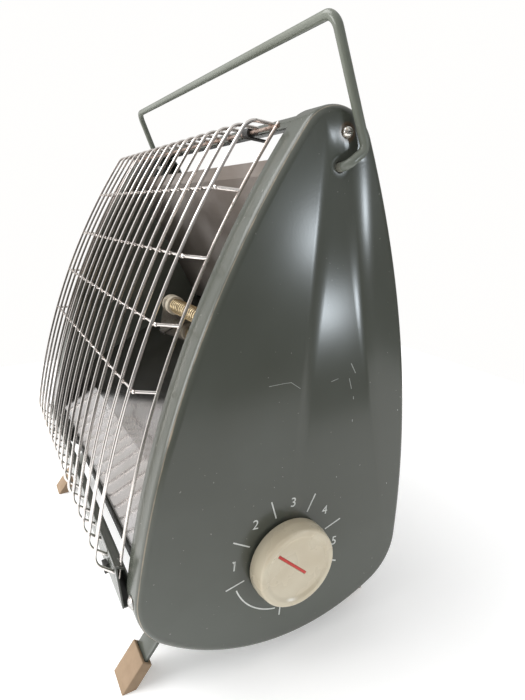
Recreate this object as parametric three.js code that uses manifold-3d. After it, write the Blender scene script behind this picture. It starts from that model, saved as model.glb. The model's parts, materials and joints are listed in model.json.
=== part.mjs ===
// Portable electric radiant heater: two pressed-steel cheeks joined by folded sheet panels,
// with a polished trough reflector, one wire-wound element, a bowed wire guard,
// a swinging carrying handle, a heat control on the right cheek and strap feet.
//
// Millimetres, +Z up, the front faces -Y. The body is drawn upright in its own frame
// (x across, y depth, z height above the control's axis) and then leaned back on its feet.
import * as THREE from 'three';
import { mergeVertices } from 'three/addons/utils/BufferGeometryUtils.js';
import Module from 'manifold-3d';

// ---- driving dimensions ----
const WIDTH = 307; // over the two cheeks
const PEAK = 256; // top of a cheek above the control's axis
const BASE = 62; // bottom of a cheek below the control's axis
const HALF_DEPTH = 92; // half of a cheek's greatest depth
const LEAN = 6.9; // degrees that the body leans back
const FLOOR = 73; // height of the control's axis above the floor

const SHEET = 1.2; // cheek steel
const PANEL = 1.0; // panel steel
const GAP = 0.3; // gap between parts that touch
const FLAT = 0.15; // a chord's greatest distance from its arc
const NOSE_RADIUS = 24; // cheek outline at the peak
const SIDE_RADIUS = 570; // its long sides
const CORNER_RADIUS = 38; // its lower corners
const BOTTOM_RADIUS = 134; // its bottom
const FLANGE = 19; // how far a cheek's rim turns in
const CREASE = 4.5; // outside radius between face and rim

const WIRE = 2; // guard wire
const WIRE_COUNT = 16; // upright guard wires
const STANDOFF = 17; // guard wires in front of the cheeks' edge
const RIM_STANDOFF = 4; // rim wires in front of the same edge
const RIM_INSET = 21.5; // rim wires in from a cheek's face
const WIRE_INSET = 27; // outermost upright wires in from a cheek's face
const WIRE_TOP = PEAK - 15; // where an upright wire bends back at the top
const WIRE_BOTTOM = 4; // where it bends back at the bottom
const WIRE_BEND = 9; // radius of those bends
const CROSS_TOP = PEAK - 47; // height of the highest cross wire
const CROSS_PITCH = 35.5;
const CROSS_COUNT = 4;
const CROSS_OVERHANG = 1.5; // cross wire runs past the outermost upright before it bends back
const CROSS_BEND = 2;
const WELD = 1.6; // centres of an upright and the top rod apart, so that they join
const WIRE_TAIL = 3; // upright wire behind the hole it enters
const WIRE_SIDES = 6;
const UPRIGHT_STEPS = 8;
const RIM_STEPS = 7;
const RIM_FOOT = -4; // lower end of a rim wire

const RAIL_TOP = 5.5; // upper edge of the bottom rail
const RAIL_BOTTOM = -23; // its lower edge
const RAIL_PROUD = 7; // rail in front of the cheeks' edge
const RAIL_HOLE = -3.5; // height of the holes that the guard wires enter
const RAIL_RAKE = 5.5; // its lower edge behind its upper edge
const RAIL_LIP = 5; // its upper edge folded in
const RAIL_TAB_LOW = 22; // heights below the control's axis that its inner limb spans
const RAIL_TAB_HIGH = 6;
const RAIL_SCREW = -12;
const TOP_FRONT = -19; // front and rear edges of the top panel
const TOP_REAR = 9;

const REFLECTOR = 0.8; // reflector sheet
const REFLECTOR_FRONT = 6 - HALF_DEPTH; // front edge of the lower reflector
const REFLECTOR_FOOT = 5;
const HEM = 8; // folded edges of the panels and the reflectors
const LEAD_SLOT = 14; // slot for the element's leads, in from a cheek's face
const CREST = PEAK - 26; // upper edge of the reflector
const CREST_Y = -15;
const CREST_TILT = 1.5; // hem of the upper reflector leans forward
const LAP = 2; // upper reflector starts above the fold of the lower one
const KNEE_Y = 26 - HALF_DEPTH; // crease in the lower reflector
const KNEE = 37;
const APEX_Y = HALF_DEPTH - 37; // where the two reflectors meet
const APEX = PEAK - 140;
const FOCUS_Y = 16; // element's axis
const FOCUS_UP = 19.46; // its height above the lower reflector
const COIL_INSET = 46.5; // winding's ends in from the cheeks' faces
const COIL_DIAMETER = 15;
const ROD_DIAMETER = 11;
const CAP_LENGTH = 16; // ceramic cap on each end of the element
const CAP_DIAMETER = 19;
const CAP_GROOVE = 2; // depth of the groove in its middle
const CAP_WEB = 3; // wall between the rod and the post
const TERMINAL = 5; // brass post at each end of the element
const TERMINAL_LONG = 9;
const STAND = 26; // steel stand under each ceramic cap
const STAND_ABOVE = 5;
const STAND_SOLE = 12;
const STAND_TAPER = 3; // narrower at each side of its top
const STAND_SLACK = 1; // saddle cut past the plate

const HANDLE_ROD = 5;
const HANDLE_OUT = 4.8; // rod's centre outside a cheek's face
const HANDLE_REACH = 65.5; // crossbar above the pivot
const HANDLE_FORWARD = 18.5; // crossbar in front of the pivot
const HANDLE_CRANK = 11; // leg's foot behind the pivot
const HANDLE_BEND = 7;
const HANDLE_START = 10; // height above the pivot where a leg starts to run straight
const PIVOT = PEAK - 30; // handle pivot above the control's axis
const PIVOT_Y = 2;
const STOP_UP = 17; // stop screw above the pivot
const STOP_HEAD = 3.2; // its head's radius
const STOP_RISE = 3.1; // its head's height
const STOP_GRIP = 6;
const HANDLE_TUCK = 13; // rod's end inside a cheek
const ANKLE_BEND = 5;
const CLIP = 2; // spring washer on each end
const CLIP_BACK = 3;

const KNOB_RADIUS = 25;
const KNOB_FOOT = 26.5; // radius where the knob swells near the cheek
const KNOB_PROUD = 13.6; // rim of the knob in front of the cheek
const KNOB_DISH = 20; // radius of its hollowed face
const KNOB_HOLLOW = 1.3; // depth of that hollow
const KNOB_CLEAR = 1.6; // knob off the cheek
const KNOB_WALL = 2.4;
const KNOB_EASE = 0.8; // rounding of its rim
const HUB_WALL = 3;
const HUB_SHORT = 3; // hub ends this far inside the knob
const SHAFT = 6;
const SHAFT_TAIL = 6; // shaft inside the regulator
const POINTER_LONG = 26;
const POINTER_WIDE = 1.6;
const POINTER_ANGLE = 142.5; // degrees, where the pointer's outer end stands
const POINTER_DEPTH = 0.8;
const POINTER_PROUD = 0.1;
const POINTER_SHIFT = 5; // pointer's middle out from the knob's axis
const BUSH = 10; // threaded bush of the regulator
const BUSH_PROUD = 4.2;
const NUT = 16;
const NUT_THICK = 2.4;
const REGULATOR = 42;
const REGULATOR_DEEP = 24;
const REGULATOR_OFF = 3; // regulator behind the cheek

const STRAP = 16; // width of a foot strap
const STRAP_THICK = 1.8;
const STRAP_INSET = 22; // strap in from a cheek's face
const FRONT_TIP = -95; // where the straps' ends stand, on the floor
const REAR_TIP = 74;
const LEG_LEAN = 38; // front leg from the upright, degrees
const REAR_LEAN = 50; // rear leg from the upright
const STRAP_BEND = 8;
const SOLE = 5; // strap's end above the sole, along the leg
const SOLE_REAR = 7;
const CAP_WIDE = 20; // rubber foot
const CAP_THICK = 7;
const CAP_LONG = 19;
const PAN_FRONT = -58; // front and rear edges of the bottom pan
const PAN_REAR = 46;
const BACK_TOP = PEAK - 56; // upper edge of the back panel
const BACK_BOTTOM = -16;
const BACK_SCREW_HIGH = PEAK - 91;
const BACK_SCREW_LOW = 40;
const LOUVRE = 4; // height of an air slot
const LOUVRE_LONG = 96;
const LOUVRE_CENTRE = 66; // middle of a slot from the body's middle
const LOUVRE_PITCH = 11;
const LOUVRE_ROWS = 4;
const LOUVRE_FIRST_HIGH = PEAK - 116;
const LOUVRE_FIRST_LOW = 22;
const INLET = 6; // air slots in the bottom pan
const INLET_LONG = 80;
const INLET_CENTRE = 52;
const INLET_DEPTHS = [-36, -18, 0, 18];
const RIVET_FRONT = -38; // depths of the rivets through strap and pan
const RIVET_REAR = 34;
const GLAND_X = 33.5 - WIDTH / 2; // supply gland in the back panel
const GLAND_UP = 8; // its height above the panel's lower bend
const GLAND_NECK = 6;
const GLAND_RIM = 9;
const GLAND_BORE = 3.6;
const GLAND_FLANGE = 3; // flange inside the panel
const GLAND_NOSE = 6; // its nose outside the panel
const GLAND_NOSE_WALL = 1.4;
const GLAND_EASE = 1.5;
const GLAND_COLLAR = 2;
const BLOCK = 30; // terminal block on the bottom pan
const BLOCK_DEEP = 14;
const BLOCK_TALL = 12;
const BLOCK_X = 57.5 - WIDTH / 2;
const BLOCK_Y = 14;
const WELL = 6; // width of a wire well in the block
const WELL_DEEP = 4;
const LEAD_SUNK = 3; // a lead's end below the block's top
const LEAD = 2.4;
const CLIP_WIDE = 6; // clips that hold the guard
const CLIP_OUTER = 2.8; // outer radius of a clip around the top rod
const CLIP_LEAF = 0.8;
const CLIP_ARM = 12;
const RAIL_CLIP_X = WIDTH / 2 - 45.5;
const RAIL_CLIP_OUT = 3;
const RAIL_CLIP_SHARE = 0.62;

const SCREW = 4; // panel screws' thread, their heads are twice as wide
const SCREW_GRIP = 6;
const RIVET_TAIL = 1.5;
const DRILL = 10; // half the length of a drill through the sheet
const ROUND = 12; // sides of the small round parts

const wasm = await Module();
wasm.setup();

const rad = THREE.MathUtils.degToRad;
const right = WIDTH / 2; // outer face of the right cheek
const inner = right - SHEET; // its inner face
const lip = right - FLANGE; // edge of its rim
const backing = SHEET + GAP; // panels lie this far inside the cheeks' outline
const slope = (APEX - KNEE) / (APEX_Y - KNEE_Y); // of the lower reflector behind its crease
const reflectorHeight = (y) => KNEE + (y - KNEE_Y) * slope;
const FOCUS = reflectorHeight(FOCUS_Y) + FOCUS_UP;

// ---- solids ----
const toSolid = (geometry) => {
  const bare = geometry.index ? geometry.toNonIndexed() : geometry.clone();
  bare.deleteAttribute('normal');
  bare.deleteAttribute('uv');
  const merged = mergeVertices(bare, 1e-4);
  const vertProperties = new Float32Array(merged.attributes.position.array);
  const triVerts = new Uint32Array(merged.index.array);
  return new wasm.Manifold(new wasm.Mesh({ numProp: 3, vertProperties, triVerts }));
};

const toGeometry = (solid) => {
  const { vertProperties, triVerts } = solid.getMesh();
  const geometry = new THREE.BufferGeometry();
  geometry.setAttribute('position', new THREE.BufferAttribute(vertProperties, 3));
  geometry.setIndex(new THREE.BufferAttribute(triVerts, 1));
  geometry.computeVertexNormals();
  return geometry;
};

const cut = (geometry, ...tools) =>
  toGeometry(tools.reduce((solid, tool) => solid.subtract(toSolid(tool)), toSolid(geometry)));

const join = (...geometries) =>
  toGeometry(geometries.slice(1).reduce((solid, g) => solid.add(toSolid(g)), toSolid(geometries[0])));

// a (depth, height) outline pushed across the body, centred on x
const acrossBody = new THREE.Matrix4().makeBasis(
  new THREE.Vector3(0, 1, 0),
  new THREE.Vector3(0, 0, 1),
  new THREE.Vector3(1, 0, 0),
);

const prism = (outline, length, x = 0) => {
  const shape = new THREE.Shape(outline);
  const geometry = new THREE.ExtrudeGeometry(shape, { depth: length, bevelEnabled: false });
  return geometry.translate(0, 0, -length / 2).applyMatrix4(acrossBody).translate(x, 0, 0);
};

const box = (x0, x1, y0, y1, z0, z1) =>
  new THREE.BoxGeometry(x1 - x0, y1 - y0, z1 - z0)
    .translate((x0 + x1) / 2, (y0 + y1) / 2, (z0 + z1) / 2);

// a turned part from (radius, distance) pairs, its axis along +x from (x, y, z)
const turned = (profile, x, y, z, sides = 24) => {
  const points = profile.map(([r, d]) => new THREE.Vector2(r, d));
  return new THREE.LatheGeometry(points, sides).rotateZ(-Math.PI / 2).translate(x, y, z);
};

const rod = (radius, x0, x1, y, z, sides = 20) =>
  turned([[0, 0], [radius, 0], [radius, x1 - x0], [0, x1 - x0]], x0, y, z, sides);

const ring = (outer, bore, x0, x1, y, z, sides = 24) => {
  const long = x1 - x0;
  return turned([[bore, 0], [outer, 0], [outer, long], [bore, long], [bore, 0]], x0, y, z, sides);
};

// the same part on the other side of the body
const mirrored = (geometry) => {
  const other = toGeometry(toSolid(geometry)).scale(-1, 1, 1);
  const corners = other.index.array;
  for (let i = 0; i < corners.length; i += 3) {
    [corners[i], corners[i + 1]] = [corners[i + 1], corners[i]];
  }
  other.computeVertexNormals();
  return other;
};

// ---- wires and rods ----
class Stations extends THREE.Curve {
  constructor(points) {
    super();
    this.points = points;
  }

  getPoint(t, target = new THREE.Vector3()) {
    const place = t * (this.points.length - 1);
    const i = Math.min(Math.floor(place), this.points.length - 2);
    return target.lerpVectors(this.points[i], this.points[i + 1], place - i);
  }

  getPointAt(u, target) {
    return this.getPoint(u, target);
  }

  getTangentAt(u, target = new THREE.Vector3()) {
    const step = 0.5 / (this.points.length - 1);
    const ahead = this.getPoint(Math.min(u + step, 1));
    const behind = this.getPoint(Math.max(u - step, 0));
    return target.subVectors(ahead, behind).normalize();
  }
}

const wire = (points, diameter, sides) => {
  const section = new THREE.Shape();
  for (let i = 0; i < sides; i += 1) {
    const a = (2 * Math.PI * (i + 0.5)) / sides;
    const corner = [(diameter / 2) * Math.cos(a), (diameter / 2) * Math.sin(a)];
    if (i === 0) section.moveTo(...corner);
    else section.lineTo(...corner);
  }
  section.closePath();
  const path = new Stations(points);
  const settings = { steps: points.length - 1, bevelEnabled: false, extrudePath: path };
  return new THREE.ExtrudeGeometry(section, settings);
};

// the corners of a bent rod or strip rounded to a radius
const bent = (corners, radius, steps = 4) => {
  const points = [corners[0]];
  for (let i = 1; i < corners.length - 1; i += 1) {
    const before = corners[i - 1].clone().sub(corners[i]).normalize();
    const after = corners[i + 1].clone().sub(corners[i]).normalize();
    const turn = before.angleTo(after);
    const back = radius / Math.tan(turn / 2);
    const start = corners[i].clone().addScaledVector(before, back);
    const end = corners[i].clone().addScaledVector(after, back);
    const centreLine = before.clone().add(after).normalize();
    const centre = corners[i].clone().addScaledVector(centreLine, radius / Math.sin(turn / 2));
    const from = start.clone().sub(centre);
    const to = end.clone().sub(centre);
    const sweep = from.angleTo(to);
    for (let k = 0; k <= steps; k += 1) {
      const a = (sweep * k) / steps;
      const weightFrom = Math.sin(sweep - a) / Math.sin(sweep);
      const weightTo = Math.sin(a) / Math.sin(sweep);
      const spoke = from.clone().multiplyScalar(weightFrom).addScaledVector(to, weightTo);
      points.push(centre.clone().add(spoke));
    }
  }
  points.push(corners[corners.length - 1]);
  return points;
};

const at = (x, y, z) => new THREE.Vector3(x, y, z);
const flip = (p) => at(-p.x, p.y, p.z);

// ---- the cheeks' outline: four tangent arcs a side ----
const arcCentres = (inset) => {
  const nose = { y: 0, z: PEAK - NOSE_RADIUS, r: NOSE_RADIUS - inset };
  const bottom = { y: 0, z: BOTTOM_RADIUS - BASE, r: BOTTOM_RADIUS - inset };
  const cornerY = HALF_DEPTH - CORNER_RADIUS;
  const drop = Math.sqrt((BOTTOM_RADIUS - CORNER_RADIUS) ** 2 - cornerY ** 2);
  const corner = { y: cornerY, z: bottom.z - drop, r: CORNER_RADIUS - inset };
  const toNose = SIDE_RADIUS - NOSE_RADIUS;
  const toCorner = SIDE_RADIUS - CORNER_RADIUS;
  const span = Math.hypot(corner.y - nose.y, corner.z - nose.z);
  const along = (toNose ** 2 - toCorner ** 2 + span ** 2) / (2 * span);
  const off = Math.sqrt(toNose ** 2 - along ** 2);
  const ey = (corner.y - nose.y) / span;
  const ez = (corner.z - nose.z) / span;
  const side = {
    y: nose.y + ey * along + ez * off,
    z: nose.z + ez * along - ey * off,
    r: SIDE_RADIUS - inset,
  };
  return { nose, side, corner, bottom };
};

const angleFrom = (centre, other) => Math.atan2(other.z - centre.z, other.y - centre.y);

const sweepArc = (arc, a0, a1, steps) => {
  const points = [];
  for (let i = 0; i <= steps; i += 1) {
    const a = a0 + ((a1 - a0) * i) / steps;
    points.push(new THREE.Vector2(arc.y + arc.r * Math.cos(a), arc.z + arc.r * Math.sin(a)));
  }
  return points;
};

// steps along an arc that keep its chords close to it
const stepsAlong = (radius, a0, a1) =>
  Math.ceil(Math.abs(a1 - a0) / (2 * Math.acos(1 - FLAT / radius)));

// half of the outline on the rear side, from the bottom up to the peak
const halfOutline = (inset) => {
  const { nose, side, corner, bottom } = arcCentres(inset);
  const atBottom = angleFrom(bottom, corner);
  const atCorner = angleFrom(side, corner);
  const atNose = angleFrom(side, nose);
  const stretches = [
    [bottom, BOTTOM_RADIUS, -Math.PI / 2, atBottom],
    [corner, CORNER_RADIUS, atBottom, atCorner],
    [side, SIDE_RADIUS, atCorner, atNose],
    [nose, NOSE_RADIUS, atNose, Math.PI / 2],
  ];
  const points = stretches.flatMap(([arc, radius, from, to]) =>
    sweepArc(arc, from, to, stepsAlong(radius, from, to)).slice(0, -1));
  return [...points, new THREE.Vector2(nose.y, nose.z + nose.r)];
};

const outline = (inset) => {
  const half = halfOutline(inset);
  const front = half.slice(1, -1).reverse().map((p) => new THREE.Vector2(-p.x, p.y));
  return [...half, ...front];
};

// depth of the outline at a height on its long side, pushed out by a distance
const sideDepth = (height, out = 0) => {
  const { side } = arcCentres(-out);
  return side.y + Math.sqrt(side.r ** 2 - (height - side.z) ** 2);
};

// a strip of sheet that follows points, its thickness laid on their left
const sheet = (points, thickness) => {
  const other = points.map((p, i) => {
    const before = points[Math.max(i - 1, 0)];
    const after = points[Math.min(i + 1, points.length - 1)];
    const a = p.clone().sub(before);
    const b = after.clone().sub(p);
    if (i === 0) a.copy(b);
    if (i === points.length - 1) b.copy(a);
    a.normalize();
    b.normalize();
    const mid = a.clone().add(b).normalize();
    const reach = thickness / mid.dot(b);
    return new THREE.Vector2(p.x - mid.y * reach, p.y + mid.x * reach);
  });
  return [...points, ...other.reverse()];
};

const place = (y, z) => new THREE.Vector2(y, z);

// ---- a solid lofted through outlines of the cheek, for a shell with a rounded crease ----
const loft = (rings) => {
  const count = rings[0].outline.length;
  const positions = [];
  const vertex = (ringIndex, i) => {
    const { outline: points, x } = rings[ringIndex];
    const p = points[((i % count) + count) % count];
    return [x, p.x, p.y];
  };
  for (let k = 0; k + 1 < rings.length; k += 1) {
    for (let i = 0; i < count; i += 1) {
      positions.push(...vertex(k, i), ...vertex(k, i + 1), ...vertex(k + 1, i + 1));
      positions.push(...vertex(k, i), ...vertex(k + 1, i + 1), ...vertex(k + 1, i));
    }
  }
  const faces = THREE.ShapeUtils.triangulateShape(rings[0].outline, []);
  const last = rings.length - 1;
  faces.forEach(([a, b, c]) => {
    positions.push(...vertex(0, a), ...vertex(0, c), ...vertex(0, b));
    positions.push(...vertex(last, a), ...vertex(last, b), ...vertex(last, c));
  });
  const geometry = new THREE.BufferGeometry();
  geometry.setAttribute('position', new THREE.Float32BufferAttribute(positions, 3));
  return geometry;
};

const creaseSteps = 3;
const creased = (wall, xFrom) => {
  const radius = CREASE - wall;
  const rings = [{ outline: outline(wall), x: xFrom }];
  for (let k = 0; k <= creaseSteps; k += 1) {
    const a = (Math.PI / 2) * (k / creaseSteps);
    rings.push({
      outline: outline(wall + radius * (1 - Math.cos(a))),
      x: right - CREASE + radius * Math.sin(a),
    });
  }
  return loft(rings);
};

// ---- fastenings that stand square to an arc of the outline ----
const squareTo = (geometry, arc, angle, side, depth, x) => {
  const reach = arc.r - depth;
  return geometry
    .clone()
    .rotateZ(Math.PI / 2)
    .rotateX(angle)
    .translate(x, arc.y + reach * Math.cos(angle), arc.z + reach * Math.sin(angle))
    .applyMatrix4(side < 0 ? new THREE.Matrix4().makeRotationZ(Math.PI) : new THREE.Matrix4())
    .translate(side < 0 ? 2 * x : 0, 0, 0);
};

const arcs = arcCentres(0);
const angleAt = (arc, height) => Math.asin((height - arc.z) / arc.r);
const screwDrill = () => rod(SCREW / 2 + GAP, -DRILL, DRILL, 0, 0, ROUND);
const screwBody = (grip) => {
  const head = SCREW;
  const rise = SCREW / 2;
  return turned([
    [0, -grip], [SCREW / 2, -grip], [SCREW / 2, GAP], [head, GAP],
    [head * 0.8, GAP + rise * 0.7], [head * 0.4, GAP + rise], [0, GAP + rise],
  ], 0, 0, 0, ROUND);
};

const screwX = right - FLANGE / 2;
const railSpot = [arcs.corner, angleAt(arcs.corner, RAIL_SCREW), -1];
const upperSpot = [arcs.side, angleAt(arcs.side, BACK_SCREW_HIGH), 1];
const lowerSpot = [arcs.side, angleAt(arcs.side, BACK_SCREW_LOW), 1];
const drillAt = ([arc, angle, side], x) => squareTo(screwDrill(), arc, angle, side, 0, x);
const screwAt = ([arc, angle, side], x) => squareTo(screwBody(SCREW_GRIP), arc, angle, side, 0, x);

// ---- cheeks ----
const legDepth = (up) => {
  const share = (up - HANDLE_START) / (HANDLE_REACH - HANDLE_START);
  return PIVOT_Y + HANDLE_CRANK - share * (HANDLE_CRANK + HANDLE_FORWARD);
};
const stopZ = PIVOT + STOP_UP;
const stopY = legDepth(STOP_UP) - HANDLE_ROD / 2 - STOP_HEAD - GAP;
const pivotHole = HANDLE_ROD / 2 + GAP;

const shell = cut(creased(0, lip), creased(SHEET, lip - SHEET));
const plainCheek = cut(
  shell,
  rod(pivotHole, inner - SHEET, right + SHEET, PIVOT_Y, PIVOT, 20),
  rod(SCREW / 2 + GAP, inner - SHEET, right + SHEET, stopY, stopZ, ROUND),
  drillAt(railSpot, screwX),
  drillAt(upperSpot, screwX),
  drillAt(lowerSpot, screwX),
);
const controlCheek = cut(plainCheek, rod(BUSH / 2 + GAP, inner - SHEET, right + SHEET, 0, 0, 24));

// ---- sheet panels between the cheeks ----
const panelHalf = right - CREASE - GAP;
const panelLength = 2 * panelHalf;
const panelArcs = arcCentres(backing);

const topRear = Math.acos(TOP_REAR / panelArcs.nose.r);
const topFront = Math.PI - Math.acos(-TOP_FRONT / panelArcs.nose.r);
const alongArc = (arc, from, to) => sweepArc(arc, from, to, stepsAlong(arc.r, from, to));
const topCurve = alongArc(panelArcs.nose, topRear, topFront);
const topPanel = prism(sheet(topCurve, PANEL), panelLength);

const cornerEnd = angleFrom(arcs.side, arcs.corner);
const backCurve = [
  ...alongArc(panelArcs.corner, angleAt(panelArcs.corner, BACK_BOTTOM), cornerEnd),
  ...alongArc(panelArcs.side, cornerEnd, angleAt(panelArcs.side, BACK_TOP)).slice(1),
];
const hem = backCurve[backCurve.length - 1].clone().add(place(-HEM, HEM / 3));
const louvres = [];
[LOUVRE_FIRST_HIGH, LOUVRE_FIRST_LOW].forEach((first) => {
  for (let i = 0; i < LOUVRE_ROWS; i += 1) {
    const z = first + i * LOUVRE_PITCH;
    [-1, 1].forEach((side) => {
      const x = side * LOUVRE_CENTRE;
      const half = LOUVRE_LONG / 2;
      louvres.push(box(x - half, x + half, 0, 2 * HALF_DEPTH, z, z + LOUVRE));
    });
  }
});
const cornerTop = arcs.corner.z + arcs.corner.r * Math.sin(cornerEnd);
const glandAngle = angleAt(arcs.side, cornerTop + GLAND_UP);
const glandDrill = squareTo(
  rod(GLAND_NECK + GAP, -DRILL, DRILL, 0, 0), arcs.side, glandAngle, 1, 0, GLAND_X,
);
const backPanel = cut(
  prism(sheet([...backCurve, hem], PANEL), panelLength),
  ...louvres,
  glandDrill,
  drillAt(upperSpot, screwX),
  drillAt(lowerSpot, screwX),
  drillAt(upperSpot, -screwX),
  drillAt(lowerSpot, -screwX),
);

const angleUnder = (arc, depth) => -Math.acos(depth / arc.r);
const panArc = panelArcs.bottom;
const panCurve = alongArc(panArc, angleUnder(panArc, PAN_FRONT), angleUnder(panArc, PAN_REAR));
const rivetAngles = [angleUnder(panArc, RIVET_FRONT), angleUnder(panArc, RIVET_REAR)];
const strapX = right - STRAP_INSET - STRAP / 2;
const rivetDrills = [-strapX, strapX].flatMap((x) =>
  rivetAngles.map((angle) => squareTo(screwDrill(), arcs.bottom, angle, 1, 0, x)));
const inlets = INLET_DEPTHS.flatMap((y) =>
  [-1, 1].map((side) => {
    const x = side * INLET_CENTRE;
    return box(x - INLET_LONG / 2, x + INLET_LONG / 2, y, y + INLET, -2 * BASE, 0);
  }));
const bottomPan = cut(prism(sheet(panCurve, PANEL), panelLength), ...rivetDrills, ...inlets);

// ---- guard: upright wires hooked over a top rod, cross wires behind them, a rim wire a side ----
const frontOf = (height, out) => -sideDepth(height, out);
const rimX = right - RIM_INSET;
const outerX = right - WIRE_INSET;
const rodZ = WIRE_TOP + WIRE;
const rodY = frontOf(rodZ, RIM_STANDOFF);
const railFaceTop = place(-HALF_DEPTH - RAIL_PROUD, RAIL_TOP);
const railFaceBottom = place(-HALF_DEPTH - RAIL_PROUD + RAIL_RAKE, RAIL_BOTTOM);
const railShare = (RAIL_TOP - RAIL_HOLE) / (RAIL_TOP - RAIL_BOTTOM);
const railHole = railFaceTop.clone().lerp(railFaceBottom, railShare);

const wireXs = [];
for (let i = 0; i < WIRE_COUNT; i += 1) {
  wireXs.push(-outerX + (2 * outerX * i) / (WIRE_COUNT - 1));
}

const upright = (x, thickness, sides) => {
  const hook = rodZ + WELD;
  const tail = at(x, rodY + WIRE / 2, hook);
  const shoulder = at(x, frontOf(hook, STANDOFF), hook);
  const corner = at(x, frontOf(WIRE_BOTTOM, STANDOFF), WIRE_BOTTOM);
  const hole = at(x, railHole.x, railHole.y);
  const end = hole.clone().sub(corner).setLength(WIRE_TAIL).add(hole);
  const run = [];
  const high = WIRE_TOP - WIRE_BEND;
  const low = WIRE_BOTTOM + 2 * WIRE_BEND;
  for (let k = 0; k <= UPRIGHT_STEPS; k += 1) {
    const z = high + ((low - high) * k) / UPRIGHT_STEPS;
    run.push(at(x, frontOf(z, STANDOFF), z));
  }
  const top = bent([tail, shoulder, run[0]], WIRE_BEND, 2).slice(0, -1);
  const foot = bent([run[UPRIGHT_STEPS], corner, end], WIRE_BEND, 2).slice(1);
  return wire([...top, ...run, ...foot], thickness, sides);
};

const rim = (x, thickness, sides) => {
  const points = [];
  const top = rodZ + WIRE;
  for (let k = 0; k <= RIM_STEPS; k += 1) {
    const z = top + ((RIM_FOOT - top) * k) / RIM_STEPS;
    points.push(at(x, frontOf(z, RIM_STANDOFF), z));
  }
  return wire(points, thickness, sides);
};

const crossWire = (height) => {
  const front = frontOf(height, STANDOFF - WIRE - GAP);
  const corner = at(outerX + CROSS_OVERHANG, front, height);
  const onRim = at(rimX, frontOf(height, RIM_STANDOFF), height);
  const end = corner.clone().sub(onRim).setLength(WIRE + GAP).add(onRim);
  return wire(bent([flip(end), flip(corner), corner, end], CROSS_BEND, 2), WIRE, WIRE_SIDES);
};

const rodHalf = rimX - WIRE - GAP;
const topRod = wire([at(-rodHalf, rodY, rodZ), at(rodHalf, rodY, rodZ)], WIRE, WIRE_SIDES);
const guard = join(topRod, ...wireXs.map((x) => upright(x, WIRE, WIRE_SIDES)));

// ---- bottom rail: a folded channel whose ends tuck inside the cheeks' rims ----
const tabArc = arcCentres(backing + PANEL).corner;
const tabLow = angleAt(tabArc, -RAIL_TAB_LOW);
const tabHigh = angleAt(tabArc, -RAIL_TAB_HIGH);
const tabCurve = sweepArc(tabArc, tabLow, tabHigh, 4).map((p) => place(-p.x, p.y));
const railProfile = [
  railFaceTop.clone().add(place(RAIL_LIP, -RAIL_LIP / 2)),
  railFaceTop,
  railFaceBottom,
  ...tabCurve,
];
const fullWidth = prism(outline(backing), 2 * WIDTH);
const railEnd = cut(box(lip - GAP, WIDTH, -2 * HALF_DEPTH, 0, -BASE, PEAK), fullWidth);
const clearWire = WIRE + 2 * GAP;
const rail = cut(
  prism(sheet(railProfile, PANEL), panelLength),
  railEnd,
  mirrored(railEnd),
  rim(-rimX, clearWire, WIRE_SIDES),
  rim(rimX, clearWire, WIRE_SIDES),
  ...wireXs.map((x) => upright(x, clearWire, WIRE_SIDES)),
  drillAt(railSpot, screwX),
  drillAt(railSpot, -screwX),
);

// ---- reflector: a creased lower sheet and a hemmed upper sheet ----
const apex = place(APEX_Y, APEX);
const knee = place(KNEE_Y, KNEE);
const crest = place(CREST_Y, CREST);
const brow = place(CREST_Y + CREST_TILT, CREST - HEM);
const rise = brow.clone().sub(apex).normalize();
const forward = place(-rise.y, rise.x);
const lowerFront = place(REFLECTOR_FRONT, REFLECTOR_FOOT);
const lowerCurve = [
  apex.clone().addScaledVector(rise, HEM),
  apex,
  knee,
  lowerFront,
  lowerFront.clone().add(place(0, -HEM)),
];
const leadSlot = box(right - LEAD_SLOT, right, FOCUS_Y - HEM, FOCUS_Y + HEM, 0, APEX);
const lowerReflector = cut(
  prism(sheet(lowerCurve, REFLECTOR), panelLength),
  leadSlot,
  mirrored(leadSlot),
);
const upperFoot = apex.clone().addScaledVector(forward, GAP).addScaledVector(rise, LAP);
const upperCurve = [upperFoot, brow.clone().addScaledVector(forward, GAP), crest];
const upperReflector = prism(sheet(upperCurve, REFLECTOR), panelLength);

// ---- element: wire wound on a fireclay rod, held by a ceramic cap at each end ----
const coilHalf = right - COIL_INSET;
const coreHalf = coilHalf + CAP_LENGTH / 2;
const elementRod = rod(ROD_DIAMETER / 2, -coreHalf, coreHalf, FOCUS_Y, FOCUS, 16);
const coil = ring(
  COIL_DIAMETER / 2, ROD_DIAMETER / 2 + GAP, -coilHalf, coilHalf, FOCUS_Y, FOCUS, 20,
);
const capFrom = coilHalf + GAP;
const capRadius = CAP_DIAMETER / 2;
const grooveRadius = capRadius - CAP_GROOVE;
const grooveFrom = CAP_LENGTH / 2 - 1;
const grooveTo = grooveFrom + REFLECTOR + 2 * GAP;
const boreRadius = ROD_DIAMETER / 2 + GAP;
const boreDepth = CAP_LENGTH / 2 + GAP;
const postRadius = TERMINAL / 2 + GAP;
const elementCap = turned([
  [boreRadius, 0], [capRadius, 0], [capRadius, grooveFrom], [grooveRadius, grooveFrom],
  [grooveRadius, grooveTo], [capRadius, grooveTo], [capRadius, CAP_LENGTH],
  [postRadius, CAP_LENGTH], [postRadius, boreDepth + CAP_WEB], [0, boreDepth + CAP_WEB],
  [0, boreDepth], [boreRadius, boreDepth], [boreRadius, 0],
], capFrom, FOCUS_Y, FOCUS, 20);
const postFrom = capFrom + boreDepth + CAP_WEB + GAP;
const postTo = capFrom + CAP_LENGTH + TERMINAL_LONG;
const nutFrom = capFrom + CAP_LENGTH + GAP;
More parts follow.
